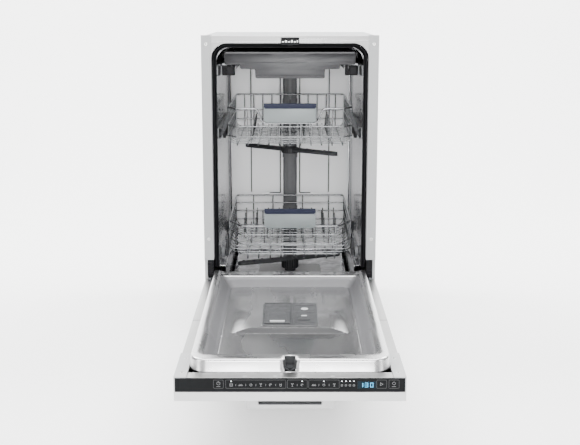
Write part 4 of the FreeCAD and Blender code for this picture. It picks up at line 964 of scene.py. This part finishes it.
def make_wheels(name, y):
    """A pair of wheels with a grooved tread and a spoked face."""
    body = "lower_wheels_" + name
    profile = [(3.2, 0), (6, 0), (6.4, 1.6), (12, 1.6), (13, 0), (16.8, 0), (17.6, 0.8), (17.6, 3.6),
               (17, 4.2), (17, 4.8), (17.6, 5.4), (17.6, 8.2), (16.8, 9), (13, 9), (12, 7.4), (6.4, 7.4),
               (6, 9), (3.2, 9), (3.2, 0)]
    for side in (-1, 1):
        start = 177 if side > 0 else -186
        turned(f"wheel_{name}_{side + 1}", profile, (start, y, WHEEL_Z), "x", body, GREY_PART,
               [body] if side < 0 else (), slot="inner_plastic")
        boxes = []
        for k in range(6):
            angle = math.tau * k / 6
            reach_y, reach_z = 9.4 * math.cos(angle), 9.4 * math.sin(angle)
            boxes.append(((start + 1.4, y + reach_y - 0.9, WHEEL_Z + reach_z - 0.9),
                          (start + 7.6, y + reach_y + 0.9, WHEEL_Z + reach_z + 0.9)))
        blocks(f"wheel_spokes_{name}_{side + 1}", boxes, body, DARK_PART, 0.3, slot="inner_plastic")


def make_upper_basket():
    """Upper basket of bent wire."""
    half, floor, rim = 162.5, 530, 626
    wires("upper_rim", [hoop(half, rim, UPPER_CORNER, 588)], 2.4, "upper_rack", WIRE, ["upper_basket"])
    middle = [hoop(half + 1, z, UPPER_CORNER) for z in (579, 552)]
    middle += [cradle(half + 1, y, floor, rim) for y in spread(84, 436, 32)]
    wires("upper_sides", middle, 1.6, "upper_rack", WIRE, slot="wire")
    runs = [runner(x, floor - 2, rim - 1 if abs(x) > 84 else 588, rim - 1) for x in spread(-138, 138, 27.6)]
    wires("upper_runners", runs, 1.6, "upper_rack", WIRE, slot="wire")
    tines = []
    for x in (-104, -38, 38, 104):
        tines += [[(x, y, floor), (x + 6, y, floor + 48)] for y in spread(80, 430, 29)]
    wires("upper_tines", tines, 1.4, "upper_rack", WIRE, slot="wire")


def make_grip(name, body, low, high):
    """A light plate with a dark grip along its top edge."""
    bm = bmesh.new()
    rings = []
    for y, inset in ((32.2, 1.4), (33.2, 0.2), (34.4, 0), (38, 0), (39.6, 0.8)):
        half = HANDLE_HALF - inset
        outline = rounded_frame(-half, half, low + inset, high - 0.2 - inset, 9, 8)
        rings.append([(x, y, z) for x, z in outline])
    capped(bm, rings)
    from_bmesh(name, bm, body, GRIP, [name])
    edge = [((-HANDLE_HALF + 0.5, 30.6, high - 10.5), (HANDLE_HALF - 0.5, 40.6, high)),
            ((-HANDLE_HALF + 3, 30, high - 13), (HANDLE_HALF - 3, 33, high - 9.8))]
    blocks(name + "_edge", edge, body, GRIP_EDGE, 1.6, slot="rack_grip")
    clips = [((x - 7, 36, low + 3), (x + 7, 45, low + 12)) for x in (-44, 44)]
    blocks(name + "_clips", clips, body, GRIP, 1.2, slot="rack_grip")


def make_lift_gear():
    """Black carriers with roller housings and end caps, and the levers that let the basket lift."""
    boxes = []
    for low, high in sides(168.6, 175.4):
        boxes += [((low, 60, 549), (high, 440, 571)), ((low, 62, 546.5), (high, 96, 573.5)),
                  ((low, 404, 546.5), (high, 438, 573.5))]
        boxes += [((low, y, 547.4), (high, y + 5, 572.6)) for y in spread(120, 380, 26)]
    blocks("carriers", boxes, "upper_carriers", BLACK_PART, 0.8, ["upper_carriers"])
    grips = []
    for low, high in sides(166.5, 167.9):
        grips += [((low, 71, 578.4), (high, 145, 591.6)), ((low - 0.2, 74, 582), (high + 0.1, 92, 588), 1)]
    blocks("levers", grips, "height_levers", [DARK_PART, GREY_PART], 0.4, ["height_levers"])
    make_lift_arms()


def make_lift_arms():
    """Slanted arms at the upper basket's front corners, each a bar with a toothed edge."""
    bm = bmesh.new()
    for side in (-1, 1):
        outline = [(178, 553), (181.5, 558), (171, 596), (160, 618), (154, 617), (158, 600), (166, 572)]
        rings = [[(side * x, y, z) for x, z in outline] for y in (45, 52)]
        capped(bm, rings)
        for i in range(5):
            x, z = 171 - 2.6 * i, 566 + 9.5 * i
            left, right = sorted((side * (x - 2), side * (x + 6)))
            block_into(bm, (left, 43.6, z), (right, 45.4, z + 3.4))
    piece = from_bmesh("lift_arms", bm, "upper_rack", DARK_PART, slot="dark_plastic", smooth=False)
    bevelled(piece, 0.8)


def make_rails():
    """Folded steel rails on the tub walls, with black end caps."""
    for name, low, high in (("upper_rails", 545, 575), ("tray_rails", 709, 738)):
        boxes, caps = [], []
        for (near, far), (inner, outer) in zip(sides(180.2, 187.8), sides(186, 187.8)):
            boxes += [((near, RAIL_NEAR, low), (far, RAIL_FAR, low + 3)),
                      ((near, RAIL_NEAR, high - 3), (far, RAIL_FAR, high)),
                      ((inner, RAIL_NEAR, low), (outer, RAIL_FAR, high))]
            caps += [((near, RAIL_NEAR, low - 0.5), (far, 72, high + 0.5)),
                     ((near, 428, low), (far, RAIL_FAR, high))]
        blocks(name + "_fixed", boxes, "cabinet", GALVANISED, 0.4, [name])
        blocks(name + "_caps", caps, "cabinet", BLACK_PART, 1.2, slot="base_plastic")
    for name, body, low, high in (("slides", "upper_slides", 548, 572),
                                  ("tray_members", "tray_slides", 712, 735)):
        boxes = []
        for near, far in sides(176.1, 179.5):
            boxes += [((near, RAIL_NEAR, low), (far, RAIL_FAR, low + 2.4)),
                      ((near, RAIL_NEAR, high - 2.4), (far, RAIL_FAR, high)),
                      ((near + 1, RAIL_NEAR, low), (far - 1, RAIL_FAR, high))]
            boxes += [((near, y, low + 3), (far, y + 7, high - 3)) for y in spread(80, 420, 34)]
        blocks(name, boxes, body, GALVANISED, 0.3, [body])


def make_tray():
    """Cutlery tray: two shallow wings and a deep trough, with ribs."""
    bm = bmesh.new()
    section = [(-167, 771), (-167, 742.6), (-165.4, 740.4), (-130, 740.4), (-128, 738.6), (-127.4, 731),
               (-125, 729), (-91, 728), (-89, 725), (-88.4, 707), (-86, 705.2), (86, 705.2), (88.4, 707),
               (89, 725), (91, 728), (125, 729), (127.4, 731), (128, 738.6), (130, 740.4), (165.4, 740.4),
               (167, 742.6), (167, 771)]
    rows = [[(x, y, z) for x, z in section] for y in spread(40.4, 449.6, 30)]
    made = [[bm.verts.new(spot(*p)) for p in row] for row in rows]
    for lower, upper in zip(made, made[1:]):
        for i in range(len(section) - 1):
            bm.faces.new((lower[i], lower[i + 1], upper[i + 1], upper[i]))
    for row in (made[0], made[-1]):
        bm.faces.new(row)
    piece = from_bmesh("tray_shell", bm, "cutlery_tray", TRAY, ["cutlery_tray"])
    thick(piece, 2.2, 0)
    edge = [((-167.4, 38.6, 767.6), (167.4, 42.8, 771.6)), ((-167.4, 447, 767.6), (167.4, 450.4, 771.6))]
    for low, high in sides(164.6, 167.6):
        edge.append(((low, 38.6, 767.6), (high, 450.4, 771.6)))
    edge += [((-164, 38.4, 743), (164, 40.2, 744.4)), ((-86, 38.4, 708), (86, 40.2, 709.4))]
    blocks("tray_edge", edge, "cutlery_tray", TRAY, 0.6, slot="tray_grey")
    ribs = [((x - 0.8, 44, 729), (x + 0.8, 446, 750)) for x in (-150, -138, 138, 150)]
    ribs += [((-86, y, 706), (86, y + 1.6, 716)) for y in spread(70, 420, 25)]
    blocks("tray_ribs", ribs, "cutlery_tray", TRAY, 0.3, slot="tray_grey")
    hangers, ends = [], []
    for low, high in sides(161, 175.4):
        hangers.append(((low, 60, 712.4), (high, 440, 741)))
    for low, high in sides(142, 175):
        ends += [((low, 50, 711), (high, 60, 737)), ((low + 4, 44, 716), (high - 9, 51, 722)),
                 ((low + 12, 42.6, 713), (high - 4, 51, 734)), ((low + 2, 46, 727), (high - 2, 51, 731))]
    blocks("tray_hangers", hangers, "cutlery_tray", GALVANISED, 0.6, slot="galvanised")
    blocks("tray_end_caps", ends, "cutlery_tray", BLACK_PART, 1.6, slot="base_plastic")


def blade_outline(reach, count=40):
    """Half-widths along a spray arm: waisted near the hub, rounded at both ends."""
    points = []
    for i in range(count + 1):
        along = -reach + 2 * reach * i / count
        share = abs(along) / reach
        wide = 12.5 + 4 * (1 - share) ** 2
        wide *= math.sqrt(max(0.0, 1 - max(0.0, share - 0.86) ** 2 / 0.14 ** 2))
        points.append((along, max(0.6, wide)))
    return points


def make_spray_arm(name, body, low, turn, hub_low, hub_high):
    """Two-bladed arm with a ridge, spray slots and a domed hub."""
    bm = bmesh.new()
    cos, sin = math.cos(math.radians(turn)), math.sin(math.radians(turn))
    shape = [(-1, 3), (-1, 8), (-0.6, 11.4), (0, 11.9), (0.6, 11.4), (1, 8), (1, 3), (0.5, 0.3), (-0.5, 0.3)]
    rings = []
    for along, wide in blade_outline(158):
        ring = []
        for across, up in shape:
            u, v = along, across * wide
            ring.append((u * cos - v * sin, HUB_Y + u * sin + v * cos, low + up))
        rings.append(ring)
    capped(bm, rings)
    from_bmesh(name, bm, body, DARK_PART, [body])
    rise = hub_high - hub_low
    hub = [(0.01, rise), (8, rise), (10, rise - 1.6), (17, rise - 2.4), (22.5, rise - 7), (23.4, 6),
           (23.4, 1), (22, 0), (16.4, 0)]
    turned(name + "_hub", hub, (0, HUB_Y, hub_low), "z", body, DARK_PART, slot="dark_plastic", steps=56)
    ribs = []
    for k in range(20):
        angle = math.tau * k / 20
        x, y = 23.6 * math.cos(angle), HUB_Y + 23.6 * math.sin(angle)
        ribs.append(((x - 1.2, y - 1.2, hub_low + 2), (x + 1.2, y + 1.2, hub_high - 7)))
    blocks(name + "_ribs", ribs, body, BLACK_PART, 0.5, slot="dark_plastic")
    for i, (along, across) in enumerate(((-140, 4), (-112, -5), (-84, 5), (-56, -3), (56, 3), (84, -5),
                                         (112, 5), (140, -4))):
        x, y = along * cos - across * sin, HUB_Y + along * sin + across * cos
        nozzle = [(1.4, 1.2), (1.4, 2.0), (3.4, 2.0), (4.2, 1.2), (4.6, 0)]
        turned(f"{name}_nozzle_{i}", nozzle, (x, y, low + 10.4), "z", body, BLACK_PART, slot="dark_plastic",
               steps=20)


def make_feed_pipe():
    """Pipe under the upper basket from its arm back to the wall duct."""
    bm = bmesh.new()
    shape = [(-13.4, 508), (-12, 505), (12, 505), (13.4, 508), (13.4, 518), (11, 521.6), (-11, 521.6),
             (-13.4, 518)]
    swells = [(252, 0.8), (256, 1), (300, 1), (400, 0.86), (450, 0.86), (456, 1), (468.6, 1)]
    capped(bm, [[(x * swell, y, z) for x, z in shape] for y, swell in swells])
    for y in (300, 350, 400):
        block_into(bm, (-14, y, 504.2), (14, y + 5, 521.9))
    piece = from_bmesh("feed_pipe", bm, "upper_rack", GREY_PART, ["upper_feed_pipe"])
    bevelled(piece, 0.6)
    stem = [(0.01, 0), (11.9, 0), (11.9, 9), (13.4, 10), (13.4, 12)]
    turned("feed_stem", stem, (0, HUB_Y, 494), "z", "upper_rack", GREY_PART, slot="inner_plastic")


# ---------------------------------------------------------------- tub floor

def make_filter():
    """Coarse filter: a ribbed collar with a winged grip over a slotted tube."""
    collar = [(28, 0), (37, 0), (37, 2), (35.4, 3), (31, 3.2), (30, 5), (27.6, 5.4), (26.8, 4), (26.6, 0)]
    turned("filter_collar", collar, (0, FILTER_Y, 130.4), "z", "filter_cylinder", GREY_PART,
           ["filter_cylinder"], slot="inner_plastic", steps=64)
    boxes = [((-28, 193.4, 132), (28, 196.6, 144.6)), ((-3, 188, 132), (3, 202, 144.6))]
    for k in range(18):
        angle = math.tau * k / 18
        x, y = 26 * math.cos(angle), FILTER_Y + 26 * math.sin(angle)
        boxes.append(((x - 1.6, y - 1.6, 94), (x + 1.6, y + 1.6, 134)))
    boxes += [((-20, 194, z), (20, 196, z + 1.2)) for z in (100, 110, 120)]
    blocks("filter_cage", boxes, "filter_cylinder", GREY_PART, 0.5, slot="inner_plastic")


def make_salt_cap():
    """Ribbed screw cap with a tall ridge."""
    cap = [(29.4, 0), (30, 0.8), (30, 11.4), (28.6, 13.4), (25, 14), (0.01, 14)]
    turned("salt_cap_shell", cap, (-128, 100, 128.4), "z", "salt_cap", GREY_PART, ["salt_cap"], steps=64)
    boxes = [((-148, 97.4, 141), (-108, 102.6, 149.6))]
    blocks("salt_cap_ridge", boxes, "salt_cap", GREY_PART, 1.2, slot="inner_plastic")


def make_feet():
    """Screw feet with a ribbed pad."""
    for name, x, y in (("front_left", -185, 84), ("front_right", 185, 84), ("rear", 0, 450)):
        body = "foot_" + name
        profile = [(0.01, 0), (18.6, 0), (20, 1.4), (20, 5.4), (18, 7), (11, 8), (9, 9), (9, 14), (8, 15),
                   (5, 15)]
        for k in range(18):
            base = 15.4 + 3 * k
            profile += [(5, base), (4.3, base + 1.5)]
        profile += [(5, 70), (0.01, 70)]
        turned("screw_" + body, profile, (x, y, 0), "z", body, BASE, [body], steps=36)


def make_panels():
    """Pressed beads and rows of screws on the outside of the cabinet."""
    boxes = []
    for low, high in sides(223.2, 224.9):
        boxes += [((low, y, 300), (high, y + 6, 740)) for y in (110, 250, 390)]
    boxes += [((-160, 500.2, z), (160, 501.7, z + 6)) for z in (220, 400, 580, 740)]
    blocks("pressed_beads", boxes, "cabinet", GALVANISED, 0.7, slot="galvanised")
    for side in (-1, 1):
        for z in (150, 420, 690):
            screw_head(f"rear_screw_{side + 1}_{z}", (side * 214, 502.6, z), "y", 3.6, "cabinet", cross=False)


def make_front_board():
    """Kitchen front: a board with softened edges."""
    bm = bmesh.new()
    block_into(bm, (-223.9, -659.9, 135.1), (223.9, 29.9, 153.9))
    piece = from_bmesh("kitchen_front", bm, "door", PANEL, ["furniture_panel"])
    bevelled(piece, 0.9, 3)


# ---------------------------------------------------------------- picture

def make_floor():
    """A seamless pale backdrop: a floor that curves up behind the machine."""
    bm = bmesh.new()
    profile = [(-5.0, 0.0), (1.6, 0.0)]
    turns = [math.radians(9 * i) for i in range(1, 11)]
    profile += [(1.6 + 0.9 * math.sin(a), 0.9 - 0.9 * math.cos(a)) for a in turns]
    profile.append((2.5, 4.2))
    left = [bm.verts.new((-5, y, z)) for y, z in profile]
    right = [bm.verts.new((5, y, z)) for y, z in profile]
    for i in range(len(profile) - 1):
        bm.faces.new((left[i], right[i], right[i + 1], left[i + 1]))
    mesh = bpy.data.meshes.new("backdrop")
    bm.to_mesh(mesh)
    for polygon in mesh.polygons:
        polygon.use_smooth = True
    backdrop = bpy.data.objects.new("backdrop", mesh)
    bpy.context.scene.collection.objects.link(backdrop)
    mesh.materials.append(surface("backdrop_paper", (0.96, 0.96, 0.955), 0.005, 0.0, (0.85, 0.95)))


def area_light(name, place, aim, size, watts):
    """A rectangular lamp at a place, aimed at a point, both in metres."""
    data = bpy.data.lights.new(name, "AREA")
    data.shape = "RECTANGLE"
    data.size, data.size_y = size
    data.energy = watts
    lamp = bpy.data.objects.new(name, data)
    lamp.location = place
    lamp.rotation_euler = (Vector(aim) - Vector(place)).to_track_quat("-Z", "Y").to_euler()
    bpy.context.scene.collection.objects.link(lamp)


def make_lights():
    """Lamps over, beside and in front of the machine, two more for the backdrop, and a pale sky."""
    area_light("overhead", (0.0, -0.9, 3.0), (0, -0.2, 0.0), (2.8, 2.4), 185)
    area_light("left_strip", (-2.3, -1.9, 1.2), (0, 0.3, 0.5), (0.8, 2.0), 40)
    area_light("right_strip", (2.3, -1.9, 1.2), (0, 0.3, 0.5), (0.8, 2.0), 24)
    area_light("front_fill", (0.0, -3.4, 1.25), (0, 0.5, 0.45), (1.1, 1.5), 95)
    area_light("backdrop_left", (-1.9, 0.9, 2.6), (-0.5, 2.2, 0.5), (1.6, 1.2), 190)
    area_light("backdrop_right", (1.9, 0.9, 2.6), (0.5, 2.2, 0.5), (1.6, 1.2), 190)
    world = bpy.data.worlds.new("studio")
    world.use_nodes = True
    background = world.node_tree.nodes["Background"]
    background.inputs["Color"].default_value = (0.90, 0.905, 0.91, 1)
    background.inputs["Strength"].default_value = 0.95
    bpy.context.scene.world = world


SENSOR_WIDTH = 36
CAMERA = {"depth": -2309, "height": 875, "down": 10.282, "lens": 56.54, "shift": -0.08}


def make_camera():
    """A camera in front of the machine, tipped down a little."""
    data = bpy.data.cameras.new("camera")
    data.lens = CAMERA["lens"]
    data.sensor_width = SENSOR_WIDTH
    data.shift_y = CAMERA["shift"]
    camera = bpy.data.objects.new("camera", data)
    camera.location = spot(0, CAMERA["depth"], CAMERA["height"])
    camera.rotation_euler = (math.radians(90 - CAMERA["down"]), 0, 0)
    bpy.context.scene.collection.objects.link(camera)
    bpy.context.scene.camera = camera


dress_nodes()
for make in (make_tub, make_seal, make_screws, make_gussets, make_striker, make_hinge_covers, make_duct,
             make_liner, make_latch_trim, make_dispenser, make_controls, make_handle, make_clips,
             make_lower_basket, make_upper_basket, make_lift_gear, make_rails, make_tray, make_feed_pipe,
             make_filter, make_salt_cap, make_feet, make_panels, make_front_board, make_floor, make_lights,
             make_camera):
    make()
make_grip("lower_basket_handle", "lower_rack", 310, 362)
make_grip("upper_basket_handle", "upper_rack", 590, 640)
make_spray_arm("lower_arm", "lower_spray_arm", 158, 20, 138, 174)
make_spray_arm("upper_arm", "upper_spray_arm", 480, -34, 476, 498)
